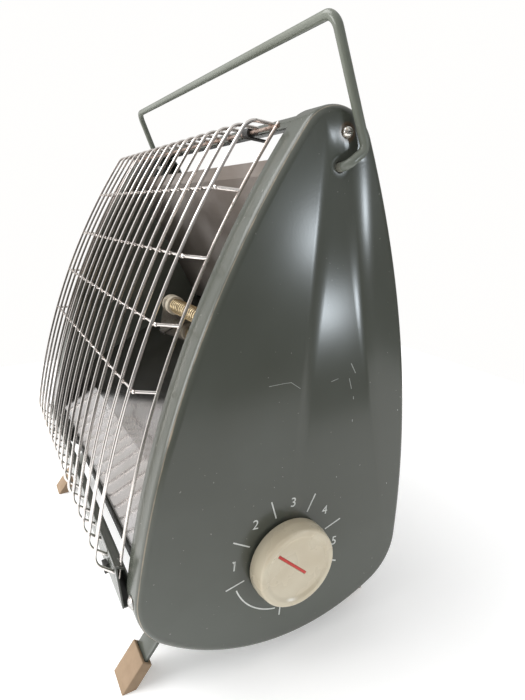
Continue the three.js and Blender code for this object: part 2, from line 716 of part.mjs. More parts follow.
const terminal = join(
  rod(TERMINAL / 2, postFrom, postTo, FOCUS_Y, FOCUS, ROUND),
  rod(TERMINAL, nutFrom, nutFrom + TERMINAL / 2, FOCUS_Y, FOCUS, 6),
);
const onReflector = (y, up) => place(y, reflectorHeight(y) + up);
const plateX = capFrom + grooveFrom + GAP;
const standOutline = [
  onReflector(FOCUS_Y - STAND / 2, 2 * GAP),
  onReflector(FOCUS_Y + STAND / 2, 2 * GAP),
  place(FOCUS_Y + STAND / 2 - STAND_TAPER, FOCUS + STAND_ABOVE),
  place(FOCUS_Y - STAND / 2 + STAND_TAPER, FOCUS + STAND_ABOVE),
];
const standSole = prism(
  sheet(standOutline.slice(0, 2), REFLECTOR),
  STAND_SOLE,
  plateX - STAND_SOLE / 2 + REFLECTOR,
);
const saddle = grooveRadius + GAP;
const saddleFrom = plateX - STAND_SLACK;
const saddleTo = plateX + REFLECTOR + STAND_SLACK;
const elementStand = cut(
  join(prism(standOutline, REFLECTOR, plateX + REFLECTOR / 2), standSole),
  rod(saddle, saddleFrom, saddleTo, FOCUS_Y, FOCUS),
  box(saddleFrom, saddleTo, FOCUS_Y - saddle, FOCUS_Y + saddle, FOCUS, FOCUS + STAND),
);

// ---- handle: one rod bent into a bail, its ends sprung into the cheeks ----
const legX = right + HANDLE_OUT;
const tuck = inner - HANDLE_TUCK;
const legEnd = at(legX, PIVOT_Y - HANDLE_FORWARD, PIVOT + HANDLE_REACH);
const legStart = at(legX, legDepth(HANDLE_START), PIVOT + HANDLE_START);
const pivotBend = at(legX, PIVOT_Y, PIVOT);
const crossbarCorners = [legStart, legEnd, flip(legEnd), flip(legStart)];
const bar = bent(crossbarCorners, HANDLE_BEND, 5).slice(1, -1);
const ankle = bent([at(tuck, PIVOT_Y, PIVOT), pivotBend, legStart, bar[0]], ANKLE_BEND, 4).slice(0, -1);
const handlePoints = [...ankle, ...bar, ...[...ankle].reverse().map(flip)];
const handleRod = wire(handlePoints, HANDLE_ROD, 12);
const clip = ring(
  HANDLE_ROD, HANDLE_ROD / 2 + GAP / 2, inner - CLIP_BACK - CLIP, inner - CLIP_BACK,
  PIVOT_Y, PIVOT, 16,
);
const stopScrew = turned([
  [0, -STOP_GRIP], [SCREW / 2, -STOP_GRIP], [SCREW / 2, GAP], [STOP_HEAD, GAP],
  [STOP_HEAD, 1], [STOP_HEAD * 0.85, STOP_RISE * 0.7], [STOP_HEAD * 0.5, STOP_RISE * 0.95],
  [0, STOP_RISE],
], right, stopY, stopZ, 16);

// ---- heat control ----
const knobFace = KNOB_PROUD - KNOB_HOLLOW;
const knobRoof = knobFace - KNOB_WALL;
const hub = SHAFT / 2 + GAP;
const hubOuter = hub + HUB_WALL;
const hubFoot = KNOB_CLEAR + HUB_SHORT;
const knobBlank = turned([
  [0, knobRoof], [hub, knobRoof], [hub, hubFoot], [hubOuter, hubFoot], [hubOuter, knobRoof],
  [KNOB_RADIUS - KNOB_WALL, knobRoof], [KNOB_FOOT - KNOB_WALL, KNOB_CLEAR],
  [KNOB_FOOT - KNOB_EASE, KNOB_CLEAR], [KNOB_FOOT, KNOB_CLEAR + KNOB_EASE],
  [KNOB_FOOT, KNOB_PROUD / 2], [KNOB_RADIUS, KNOB_PROUD - KNOB_EASE],
  [KNOB_RADIUS - KNOB_EASE, KNOB_PROUD], [KNOB_DISH + KNOB_HOLLOW, KNOB_PROUD],
  [KNOB_DISH, knobFace], [0, knobFace],
], right, 0, 0, 32);
const pointerBox = (clear) =>
  new THREE.BoxGeometry(POINTER_DEPTH + clear, POINTER_LONG + 2 * clear, POINTER_WIDE + 2 * clear)
    .translate(right + knobFace - POINTER_DEPTH / 2 + POINTER_PROUD, POINTER_SHIFT, 0)
    .rotateX(rad(POINTER_ANGLE));
const knob = cut(knobBlank, pointerBox(GAP));
const pointer = pointerBox(0);
const shaftFrom = inner - REGULATOR_OFF - SHAFT_TAIL;
const shaft = rod(SHAFT / 2, shaftFrom, right + knobRoof - GAP, 0, 0, 16);
const half = REGULATOR / 2;
const bodyTo = inner - REGULATOR_OFF;
const regulator = cut(
  join(
    box(bodyTo - REGULATOR_DEEP, bodyTo, -half, half, -half, half),
    rod(BUSH / 2, bodyTo - SHEET, right + BUSH_PROUD, 0, 0, 24),
  ),
  rod(hub, shaftFrom - GAP, right + 2 * BUSH_PROUD, 0, 0, 16),
);
const bushNut = cut(
  rod(NUT / 2, right + GAP, right + GAP + NUT_THICK, 0, 0, 6),
  rod(BUSH / 2 + GAP, right, right + 2 * NUT_THICK, 0, 0, 24),
);

// ---- feet: one bent strap under each end of the body ----
const lean = rad(LEAN);
const fromFloor = (y, z) => place(
  y * Math.cos(lean) - (z - FLOOR) * Math.sin(lean),
  y * Math.sin(lean) + (z - FLOOR) * Math.cos(lean),
);
const strapArc = arcCentres(backing + PANEL + GAP).bottom;
const legLine = (tip, angle) => {
  const start = fromFloor(tip, 0);
  const end = fromFloor(tip + Math.sin(angle), Math.cos(angle));
  return { start, way: end.sub(start) };
};
const meet = ({ start, way }, arc) => {
  const oy = start.x - arc.y;
  const oz = start.y - arc.z;
  const b = oy * way.x + oz * way.y;
  const t = -b - Math.sqrt(b * b - (oy * oy + oz * oz - arc.r * arc.r));
  return start.clone().addScaledVector(way, t);
};
const frontLeg = legLine(FRONT_TIP, rad(LEG_LEAN));
const rearLeg = legLine(REAR_TIP, rad(-REAR_LEAN));
const frontKnee = meet(frontLeg, strapArc);
const rearKnee = meet(rearLeg, strapArc);
const arcSpan = (from, to, steps) => sweepArc(
  strapArc,
  angleFrom(strapArc, { y: from.x, z: from.y }),
  angleFrom(strapArc, { y: to.x, z: to.y }),
  steps,
);
const strapRun = arcSpan(frontKnee, rearKnee, 12);
const soleUp = (leg, up) => leg.start.clone().addScaledVector(leg.way, up);
const frontEnd = soleUp(frontLeg, SOLE);
const rearEnd = soleUp(rearLeg, SOLE_REAR);
const strapCurve = [
  ...bent([frontEnd, frontKnee, strapRun[2]], STRAP_BEND, 4).slice(0, -1),
  ...strapRun.slice(2, -2),
  ...bent([strapRun[strapRun.length - 3], rearKnee, rearEnd], STRAP_BEND, 4).slice(1),
];
const strapProfile = sheet(strapCurve, STRAP_THICK);
const strap = (x) => cut(
  prism(strapProfile, STRAP, x),
  ...rivetAngles.map((angle) => squareTo(screwDrill(), arcs.bottom, angle, 1, 0, x)),
);

const upInBody = fromFloor(0, 1).sub(fromFloor(0, 0));
const heightOf = (p) => p.clone().sub(fromFloor(0, 0)).dot(upInBody);
const leftOf = (way) => place(-way.y, way.x);
const counterClockwise = (points) =>
  (THREE.ShapeUtils.area(points) > 0 ? points : [...points].reverse());

// a rubber boot around a leg's end, its sole flat on the floor; side is 1 in front, -1 behind
const footCap = (leg, x, side, strapFrom) => {
  const across = leftOf(leg.way).multiplyScalar(side);
  const alongLeg = (off, up) => leg.start.clone()
    .addScaledVector(across, STRAP_THICK / 2 + off)
    .addScaledVector(leg.way, up);
  const onFloor = (off) => {
    const p = alongLeg(off, 0);
    return p.addScaledVector(leg.way, -heightOf(p) / leg.way.dot(upInBody));
  };
  const thick = CAP_THICK / 2;
  const boot = [onFloor(-thick), alongLeg(-thick, CAP_LONG), alongLeg(thick, CAP_LONG), onFloor(thick)];
  const loose = STRAP_THICK / 2 + GAP;
  const top = 2 * CAP_LONG;
  const pocketFrom = strapFrom - GAP;
  const pocket = [
    alongLeg(-loose, pocketFrom), alongLeg(-loose, top),
    alongLeg(loose, top), alongLeg(loose, pocketFrom),
  ];
  return cut(
    prism(counterClockwise(boot), CAP_WIDE, x),
    prism(counterClockwise(pocket), STRAP + 2 * GAP, x),
  );
};

const rivetFrom = -SHEET - PANEL - STRAP_THICK - 3 * GAP - RIVET_TAIL;
const rivetBody = turned([
  [0, rivetFrom], [SCREW / 2, rivetFrom], [SCREW / 2, -SHEET], [SCREW, -SHEET],
  [SCREW * 0.7, 0], [0, GAP],
], 0, 0, 0, ROUND);
const rivet = (angle, x) => squareTo(rivetBody, arcs.bottom, angle, 1, 0, x);

// ---- supply gland, terminal block and leads ----
const innerSeat = -backing - PANEL - GAP;
const outerSeat = -backing + GAP;
const glandFrom = innerSeat - GLAND_FLANGE;
const glandBody = turned([
  [GLAND_BORE, glandFrom], [GLAND_RIM, glandFrom], [GLAND_RIM, innerSeat],
  [GLAND_NECK, innerSeat], [GLAND_NECK, outerSeat], [GLAND_RIM, outerSeat],
  [GLAND_RIM - GLAND_EASE, outerSeat + GLAND_COLLAR],
  [GLAND_BORE + GLAND_NOSE_WALL, GLAND_NOSE], [GLAND_BORE, GLAND_NOSE], [GLAND_BORE, glandFrom],
], 0, 0, 0, 20);
const gland = squareTo(glandBody, arcs.side, glandAngle, 1, 0, GLAND_X);

const panTop = (y) => panArc.z - Math.sqrt((panArc.r - PANEL) ** 2 - y * y);
const blockZ = Math.max(panTop(BLOCK_Y - BLOCK_DEEP / 2), panTop(BLOCK_Y + BLOCK_DEEP / 2)) + GAP;
const blockWell = (x) => box(
  x - WELL / 2, x + WELL / 2, BLOCK_Y - WELL / 2, BLOCK_Y + WELL / 2,
  blockZ + BLOCK_TALL - WELL_DEEP, blockZ + 2 * BLOCK_TALL,
);
const terminalBlock = cut(
  box(
    BLOCK_X - BLOCK / 2, BLOCK_X + BLOCK / 2, BLOCK_Y - BLOCK_DEEP / 2, BLOCK_Y + BLOCK_DEEP / 2,
    blockZ, blockZ + BLOCK_TALL,
  ),
  blockWell(BLOCK_X - BLOCK / 3),
  blockWell(BLOCK_X),
  blockWell(BLOCK_X + BLOCK / 3),
);

const lead = (corners) => wire(bent(corners, LEAD * 2, 3), LEAD, 8);
const leadX = right - LEAD_SLOT / 2 - LEAD / 4;
const leadFoot = blockZ + BLOCK_TALL - LEAD_SUNK;
const leadClear = GAP + LEAD / 2;
const postEnd = postTo + leadClear;
const liveLead = lead([
  at(BLOCK_X + BLOCK / 3, BLOCK_Y, leadFoot), at(BLOCK_X + BLOCK / 3, BLOCK_Y, blockZ + BLOCK),
  at(bodyTo - REGULATOR_DEEP - leadClear, BLOCK_Y, blockZ + BLOCK),
]);
const switchedLead = lead([
  at(leadX - LEAD, FOCUS_Y, half + leadClear), at(leadX - LEAD, FOCUS_Y, FOCUS),
  at(postEnd, FOCUS_Y, FOCUS),
]);
const returnLead = lead([
  at(-postEnd, FOCUS_Y, FOCUS), at(-leadX + LEAD, FOCUS_Y, FOCUS),
  at(-leadX + LEAD, FOCUS_Y, blockZ + BLOCK), at(BLOCK_X - BLOCK / 3, BLOCK_Y, blockZ + BLOCK),
  at(BLOCK_X - BLOCK / 3, BLOCK_Y, leadFoot),
]);

// ---- guard clips: each top one sits between two uprights ----
const clipX = (wireXs[WIRE_COUNT - 3] + wireXs[WIRE_COUNT - 2]) / 2;
const topClip = (x) => join(
  ring(CLIP_OUTER, WIRE / 2 + GAP, x - CLIP_WIDE / 2, x + CLIP_WIDE / 2, rodY, rodZ, 16),
  box(
    x - CLIP_WIDE / 2, x + CLIP_WIDE / 2,
    rodY, rodY + CLIP_ARM, rodZ - CLIP_OUTER, rodZ - CLIP_OUTER + CLIP_LEAF,
  ),
);
const railClip = (x) => {
  const spot = railFaceTop.clone().lerp(railFaceBottom, RAIL_CLIP_SHARE);
  const down = railFaceBottom.clone().sub(railFaceTop).setLength(CLIP_WIDE / 2);
  const inward = leftOf(down).normalize();
  spot.addScaledVector(inward, -GAP - RAIL_CLIP_OUT);
  const face = [spot.clone().sub(down), spot.clone().add(down)];
  return prism(sheet(face, RAIL_CLIP_OUT), CLIP_WIDE, x);
};

// ---- finishes ----
const finish = (name, color, roughness, metalness) =>
  Object.assign(new THREE.MeshStandardMaterial({ color, roughness, metalness }), { name });
const paint = () => finish('paint', 0x575c55, 0.3, 0.2);
const bright = () => finish('bright_wire', 0xb9b5ab, 0.25, 0.9);
const polished = () => finish('polished', 0xc8c4bc, 0.18, 0.95);
const dulled = () => finish('dulled', 0x8d8378, 0.4, 0.8);
const zinc = () => finish('zinc', 0x9a9c9a, 0.4, 0.9);
const brass = () => finish('brass', 0xb08d4a, 0.35, 0.9);
const fireclay = () => finish('fireclay', 0xd9cfb8, 0.8, 0);
const winding = () => finish('winding', 0x9c8350, 0.45, 0.8);
const cream = () => finish('cream', 0xcbc4ab, 0.25, 0);
const red = () => finish('red', 0xc8281c, 0.4, 0);
const black = () => finish('black', 0x1c1c1b, 0.5, 0);
const rubber = () => finish('rubber', 0xa98a63, 0.8, 0);
const sleeve = () => finish('sleeve', 0xc9c4b4, 0.7, 0);

// ---- assembly ----
const body = new THREE.Group();
const add = (name, geometry, material) => {
  const mesh = new THREE.Mesh(geometry, material);
  mesh.name = name;
  body.add(mesh);
};

add('right_cheek', controlCheek, paint());
add('left_cheek', mirrored(plainCheek), paint());
add('top_panel', topPanel, paint());
add('back_panel', backPanel, paint());
add('bottom_pan', bottomPan, paint());
add('bottom_rail', rail, paint());
add('lower_reflector', lowerReflector, polished());
add('upper_reflector', upperReflector, dulled());
add('wire_guard', guard, bright());
for (let i = 0; i < CROSS_COUNT; i += 1) {
  add(`guard_cross_${i + 1}`, crossWire(CROSS_TOP - i * CROSS_PITCH), bright());
}
add('element_rod', elementRod, fireclay());
add('element_winding', coil, winding());
add('handle', handleRod, paint());
add('knob', knob, cream());
add('knob_pointer', pointer, red());
add('control_shaft', shaft, zinc());
add('heat_regulator', regulator, black());
add('regulator_nut', bushNut, zinc());
add('supply_gland', gland, black());
add('terminal_block', terminalBlock, cream());
add('lead_live', liveLead, sleeve());
add('lead_switched', switchedLead, sleeve());
add('lead_return', returnLead, sleeve());

const sides = [['right', 1], ['left', -1]];
sides.forEach(([side, sign]) => {
  const either = (geometry) => (sign > 0 ? geometry : mirrored(geometry));
  add(`element_cap_${side}`, either(elementCap), fireclay());
  add(`element_stand_${side}`, either(elementStand), zinc());
  add(`element_terminal_${side}`, either(terminal), brass());
  add(`handle_clip_${side}`, either(clip), zinc());
  add(`handle_stop_${side}`, either(stopScrew), zinc());
  add(`guard_rim_${side}`, rim(sign * rimX, WIRE, WIRE_SIDES), bright());
  add(`guard_clip_${side}`, topClip(sign * clipX), black());
  add(`rail_clip_${side}`, railClip(sign * RAIL_CLIP_X), black());
  add(`rail_screw_${side}`, screwAt(railSpot, sign * screwX), zinc());
  add(`back_screw_high_${side}`, screwAt(upperSpot, sign * screwX), zinc());
  add(`back_screw_low_${side}`, screwAt(lowerSpot, sign * screwX), zinc());
  add(`foot_strap_${side}`, strap(sign * strapX), paint());
  add(`foot_front_${side}`, footCap(frontLeg, sign * strapX, 1, SOLE), rubber());
  add(`foot_rear_${side}`, footCap(rearLeg, sign * strapX, -1, SOLE_REAR), rubber());
  add(`strap_rivet_front_${side}`, rivet(rivetAngles[0], sign * strapX), zinc());
  add(`strap_rivet_rear_${side}`, rivet(rivetAngles[1], sign * strapX), zinc());
});

// the body leans back about the control's axis and stands on its feet
body.rotation.x = -lean;
const heater = new THREE.Group();
heater.add(body);
heater.updateMatrixWorld(true);
const extent = new THREE.Box3().setFromObject(heater, true);
body.position.set(
  -(extent.min.x + extent.max.x) / 2,
  -(extent.min.y + extent.max.y) / 2,
  -extent.min.z,
);

export default heater;
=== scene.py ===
import json
import random
from math import asin, atan2, cos, hypot, pi, radians, sin, sqrt, tan

import bmesh
import bpy
from mathutils import Matrix, Vector


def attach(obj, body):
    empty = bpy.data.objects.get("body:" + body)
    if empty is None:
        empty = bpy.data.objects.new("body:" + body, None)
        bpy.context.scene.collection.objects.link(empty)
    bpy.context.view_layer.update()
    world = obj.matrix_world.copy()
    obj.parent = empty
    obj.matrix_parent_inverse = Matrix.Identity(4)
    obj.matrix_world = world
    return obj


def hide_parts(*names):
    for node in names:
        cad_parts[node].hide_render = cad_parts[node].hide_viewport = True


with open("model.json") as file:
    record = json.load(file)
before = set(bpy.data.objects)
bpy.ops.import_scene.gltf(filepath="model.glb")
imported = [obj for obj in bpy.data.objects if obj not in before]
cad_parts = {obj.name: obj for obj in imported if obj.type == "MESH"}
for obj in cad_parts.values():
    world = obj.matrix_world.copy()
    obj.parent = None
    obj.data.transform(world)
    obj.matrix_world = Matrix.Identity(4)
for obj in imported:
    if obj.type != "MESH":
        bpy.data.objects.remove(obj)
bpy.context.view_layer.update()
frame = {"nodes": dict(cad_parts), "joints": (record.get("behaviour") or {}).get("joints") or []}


# ---- where the body stands ----
# The body is drawn upright in millimetres: x across it, y towards the back, z above the
# control's axis. It leans back on its feet about that axis, which the model gives.
WIDTH = 307
LEAN = radians(6.9)
MILLIMETRE = 0.001
RIGHT = WIDTH / 2  # outer face of the control's cheek

joints = {joint["name"]: joint for joint in frame["joints"]}
control = Vector(joints["knob_turn"]["pos_m"])
middle = control - Vector((RIGHT * MILLIMETRE, 0, 0))
STANDING = Matrix.Translation(middle) @ Matrix.Rotation(-LEAN, 4, "X")
STANDING = STANDING @ Matrix.Scale(MILLIMETRE, 4)


# ---- studio: camera, floor, sky and lamps ----
# A white floor lies in a room with one bright wall in front and a pale ceiling. A broad lamp
# hangs over the front, a lower one fills the guard, and a small window lies behind the camera.
VIEWPOINT = Vector((0.2209, -0.1403, 0.2058))  # camera from the control's axis
LOOK = Vector((-0.839, 0.469, -0.277))
LENS = 26
FLOOR_HALF = 0.6
FLOOR_WHITE = (0.9, 0.9, 0.9, 1)
FLOOR_GLOW = 0.3
ROOM_DIM = 0.2  # light from the sides, then what the wall and the ceiling add
WALL_ADDS = 1.0
CEILING_ADDS = 0.6

camera = bpy.data.objects.new("camera", bpy.data.cameras.new("camera"))
bpy.context.scene.collection.objects.link(camera)
camera.location = control + VIEWPOINT
camera.rotation_euler = LOOK.to_track_quat("-Z", "Y").to_euler()
camera.data.lens = LENS
camera.data.clip_start = 0.01
bpy.context.scene.camera = camera
bpy.context.scene.view_settings.view_transform = "Standard"


class Signal:
    """A node's output, whose arithmetic adds Math nodes beside it."""

    def __init__(self, nodes, socket):
        self.nodes = nodes
        self.socket = socket

    def _math(self, operation, first, second):
        return self.nodes.node("ShaderNodeMath", {"operation": operation}, {0: first, 1: second})

    def __add__(self, other):
        return self._math("ADD", self, other)

    def __radd__(self, other):
        return self._math("ADD", other, self)

    def __sub__(self, other):
        return self._math("SUBTRACT", self, other)

    def __rsub__(self, other):
        return self._math("SUBTRACT", other, self)

    def __mul__(self, other):
        return self._math("MULTIPLY", self, other)

    def __rmul__(self, other):
        return self._math("MULTIPLY", other, self)

    def __pow__(self, other):
        return self._math("POWER", self, other)


class Nodes:
    """A node tree and the one method that adds to it."""

    def __init__(self, tree):
        self.tree = tree

    def node(self, kind, settings=None, inputs=None, output=0):
        made = self.tree.nodes.new(kind)
        for name, value in (settings or {}).items():
            setattr(made, name, value)
        for name, value in (inputs or {}).items():
            self.feed(made.inputs[name], value)
        return Signal(self, made.outputs[output])

    def feed(self, socket, value):
        if isinstance(value, Signal):
            self.tree.links.new(value.socket, socket)
        else:
            socket.default_value = value

    def blend(self, share, first, second):
        return self.node("ShaderNodeMix", {"data_type": "RGBA"}, {0: share, 6: first, 7: second}, 2)

    def step(self, value, low, high):
        """0 below low, 1 above high, smooth between them."""
        kind = {"interpolation_type": "SMOOTHSTEP"}
        return self.node("ShaderNodeMapRange", kind, {0: value, 1: low, 2: high})

    def split(self, vector):
        apart = self.node("ShaderNodeSeparateXYZ", inputs={0: vector})
        sockets = apart.socket.node.outputs
        return [Signal(self, socket) for socket in sockets]


world = bpy.data.worlds.new("sky")
world.use_nodes = True
bpy.context.scene.world = world
sky = Nodes(world.node_tree)
direction = sky.node("ShaderNodeTexCoord", output="Generated")
across, inwards, upwards = sky.split(direction)
FRONT_LIGHT = Vector((-0.6, -0.78, 0.1)).normalized()  # a bright wall lies this way
towards_front = across * FRONT_LIGHT.x + inwards * FRONT_LIGHT.y + upwards * FRONT_LIGHT.z
wall = sky.step(towards_front, 0.55, 0.95)
ceiling = sky.step(upwards, 0.1, 0.9)
seen = sky.node("ShaderNodeLightPath", output="Is Camera Ray")
room = ROOM_DIM + WALL_ADDS * wall + CEILING_ADDS * ceiling
strength = seen + (1 - seen) * room
background = world.node_tree.nodes["Background"]
background.inputs["Color"].default_value = (1, 0.995, 0.985, 1)
sky.feed(background.inputs["Strength"], strength)

floor_mesh = bmesh.new()
bmesh.ops.create_grid(floor_mesh, x_segments=1, y_segments=1, size=FLOOR_HALF)
floor = bpy.data.objects.new("floor", bpy.data.meshes.new("floor"))
floor_mesh.to_mesh(floor.data)
floor_mesh.free()
bpy.context.scene.collection.objects.link(floor)
floor_finish = bpy.data.materials.new("floor")
floor_finish.use_nodes = True
floor_shader = floor_finish.node_tree.nodes["Principled BSDF"]
floor_shader.inputs["Base Color"].default_value = FLOOR_WHITE
floor_shader.inputs["Emission Color"].default_value = (1, 1, 1, 1)
floor_shader.inputs["Emission Strength"].default_value = FLOOR_GLOW
floor_shader.inputs["Roughness"].default_value = 0.7
floor.data.materials.append(floor_finish)


def lamp(name, place, aim, size, power, colour=(1, 1, 1)):
    """A square soft lamp at a place, turned towards a point, that the camera doesn't see."""
    light = bpy.data.lights.new(name, "AREA")
    light.size = size
    light.energy = power
    light.color = colour
    made = bpy.data.objects.new(name, light)
    bpy.context.scene.collection.objects.link(made)
    made.location = place
    made.rotation_euler = (Vector(aim) - Vector(place)).to_track_quat("-Z", "Y").to_euler()
    made.visible_camera = False


lamp("overhead_lamp", (-0.5, -0.9, 1.7), (0, 0, 0.2), 1.4, 24)
lamp("front_lamp", (-0.2, -1.6, 0.5), (0, 0, 0.15), 0.8, 12)
lamp("window", (1.45, 0.93, 0.27), (0.15, 0.02, 0.27), 0.16, 4, (0.85, 0.93, 1))


# ---- cheeks ----
# Each end of the body is one steel pressing: an arched plate whose edge rolls over a crease
# into a flange. The handle's rod passes through a dished hole near the top.
PEAK = 256
BASE = 62
HALF_DEPTH = 92
NOSE_RADIUS = 24
SIDE_RADIUS = 570
CORNER_RADIUS = 38
BOTTOM_RADIUS = 134
SHEET = 1.2
FLANGE = 19
CREASE = 4.5
GAP = 0.3
PIVOT_Y = 2
PIVOT = 226
HANDLE_ROD = 5
DISH = 7.2  # dished ring round the handle's hole
DISH_DEEP = 0.55
DISH_SLOPE = 2
BUSH = 10  # hole for the control's bush
BUSH_HOLE = BUSH / 2 + GAP
STOP_UP = 17  # stop screw above the pivot
STOP_HEAD = 3.2
HANDLE_REACH = 65.5
HANDLE_FORWARD = 18.5
HANDLE_CRANK = 11
LEG_FOOT = 10  # height above the pivot where the leg runs straight
PAINT_DARK = Vector((0.072, 0.077, 0.062))
PAINT_LIGHT = Vector((0.092, 0.100, 0.085))
DUST = (0.4, 0.4, 0.36, 1)
WORN_EDGE = (0.42, 0.34, 0.25, 1)
SCRATCHED = (0.45, 0.46, 0.43, 1)
SCREW_RUST = (0.16, 0.10, 0.06, 1)
SCRATCHES = (  # (depth, height) of their ends on the cheek, and width
    ((28.5, 120.5), (32.6, 114.8), 0.8), ((28.7, 111.3), (31.4, 105.0), 0.7),
    ((33.9, 99.8), (34.2, 98.4), 0.8), ((35.8, 84.9), (36.0, 83.8), 0.7),
    ((15.6, 110.1), (20.4, 111.7), 0.5), ((-26, 109.5), (-16.6, 110.7), 0.4),
    ((-16.6, 110.7), (-12.1, 111), 0.4), ((-12.1, 111), (-5.6, 107.2), 0.4),
    ((73.9, 36.7), (74.2, 36.0), 0.6), ((29.9, 48.0), (30.3, 47.6), 0.6),
    ((72.4, 88.4), (72.8, 87.8), 0.6),
)


def arcs(out=0):
    """(depth, height, radius) of the four arcs of the outline, pushed out by a distance."""
    nose = (0, PEAK - NOSE_RADIUS)
    bottom = (0, BOTTOM_RADIUS - BASE)
    corner_y = HALF_DEPTH - CORNER_RADIUS
    drop = sqrt((BOTTOM_RADIUS - CORNER_RADIUS) ** 2 - corner_y**2)
    corner = (corner_y, bottom[1] - drop)
    to_nose = SIDE_RADIUS - NOSE_RADIUS
    to_corner = SIDE_RADIUS - CORNER_RADIUS
    span = hypot(corner[0] - nose[0], corner[1] - nose[1])
    along = (to_nose**2 - to_corner**2 + span**2) / (2 * span)
    off = sqrt(to_nose**2 - along**2)
    way_y, way_z = (corner[0] - nose[0]) / span, (corner[1] - nose[1]) / span
    side = (nose[0] + way_y * along + way_z * off, nose[1] + way_z * along - way_y * off)
    radii = (NOSE_RADIUS, SIDE_RADIUS, CORNER_RADIUS, BOTTOM_RADIUS)
    return [(*centre, radius + out) for centre, radius in zip((nose, side, corner, bottom), radii)]


NOSE, SIDE, CORNER, BOTTOM = arcs()


def towards(centre, other):
    return atan2(other[1] - centre[1], other[0] - centre[0])


def front_depth(height, out=0):
    """Depth of the outline's front edge at a height, pushed out by a distance."""
    return -(SIDE[0] + sqrt((SIDE[2] + out) ** 2 - (height - SIDE[1]) ** 2))


def outline(bm, x):
    """The arched outline as a ring of edges across x, drawn by spinning one point."""
    start = bm.verts.new((x, 0, -BASE))
    turns = (
        (BOTTOM, -pi / 2, towards(BOTTOM, CORNER), 16),
        (CORNER, towards(BOTTOM, CORNER), towards(SIDE, CORNER), 14),
        (SIDE, towards(SIDE, CORNER), towards(SIDE, NOSE), 26),
        (NOSE, towards(SIDE, NOSE), pi / 2, 14),
    )
    for (y, z, _), begin, end, steps in turns:
        spun = bmesh.ops.spin(
            bm, geom=[start], cent=(x, y, z), axis=(1, 0, 0), angle=end - begin, steps=steps
        )
        start = spun["geom_last"][0]
    half = bm.verts[:] + bm.edges[:]
    bmesh.ops.mirror(bm, geom=half, axis="Y", merge_dist=0.01)
    bmesh.ops.remove_doubles(bm, verts=bm.verts[:], dist=0.01)
    return bm.edges[:]


def carve(bm, cutter):
    """Cuts one closed mesh out of another and gives the result."""
    objects = []
    for source in (bm, cutter):
        mesh = bpy.data.meshes.new("blank")
        source.to_mesh(mesh)
        source.free()
        made = bpy.data.objects.new("blank", mesh)
        bpy.context.scene.collection.objects.link(made)
        objects.append(made)
    solid, tool = objects
    modifier = solid.modifiers.new("cut", "BOOLEAN")
    modifier.operation = "DIFFERENCE"
    modifier.solver = "EXACT"
    modifier.object = tool
    bpy.context.view_layer.update()
    graph = bpy.context.evaluated_depsgraph_get()
    result = bmesh.new()
    result.from_mesh(solid.evaluated_get(graph).data)
    for made in objects:
        bpy.data.meshes.remove(made.data)
    return result


def lathe(profile, steps, foot=(0, 0, 0)):
    """A turned piece from (radius, distance) pairs, its axis along +x from its foot."""
    bm = bmesh.new()
    points = [bm.verts.new((distance, radius, 0)) for radius, distance in profile]
    edges = [bm.edges.new(pair) for pair in zip(points, points[1:])]
    geometry = points + edges
    bmesh.ops.spin(
        bm, geom=geometry, cent=(0, 0, 0), axis=(1, 0, 0), angle=2 * pi, steps=steps, use_merge=True
    )
    bmesh.ops.remove_doubles(bm, verts=bm.verts[:], dist=0.001)
    bmesh.ops.recalc_face_normals(bm, faces=bm.faces[:])
    bmesh.ops.translate(bm, vec=foot, verts=bm.verts[:])
    return bm


def gather(parts):
    """Several meshes as one."""
    whole = bmesh.new()
    for part in parts:
        mesh = bpy.data.meshes.new("part")
        part.to_mesh(mesh)
        part.free()
        whole.from_mesh(mesh)
        bpy.data.meshes.remove(mesh)
    return whole


def piece(name, bm, finish, body="heater_body", stands_for=(), crease=32, placed=False):
    """Makes a mesh a piece that rides on a CAD body, smooth except at its creases."""
    if not placed:
        bmesh.ops.transform(bm, matrix=STANDING, verts=bm.verts[:])
    for face in bm.faces:
        face.smooth = True
    for edge in bm.edges:
        edge.smooth = edge.is_manifold and edge.calc_face_angle() < radians(crease)
    made = bpy.data.objects.new(name, bpy.data.meshes.new(name))
    bm.to_mesh(made.data)
    bm.free()
    made.data.materials.append(finish.material)
    bpy.context.scene.collection.objects.link(made)
    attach(made, body)
    if stands_for:
        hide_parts(*stands_for)
    return made


def dress(finish, slot, *nodes):
    """Gives CAD nodes whose shape is right their finish."""
    for node in nodes:
        shown = frame["nodes"][node]
        shown.data.materials.clear()
        shown.data.materials.append(finish.material)


def leg_depth(up):
    share = (up - LEG_FOOT) / (HANDLE_REACH - LEG_FOOT)
    return PIVOT_Y + HANDLE_CRANK - share * (HANDLE_CRANK + HANDLE_FORWARD)


STOP_Z = PIVOT + STOP_UP
STOP_Y = leg_depth(STOP_UP) - HANDLE_ROD / 2 - STOP_HEAD - GAP


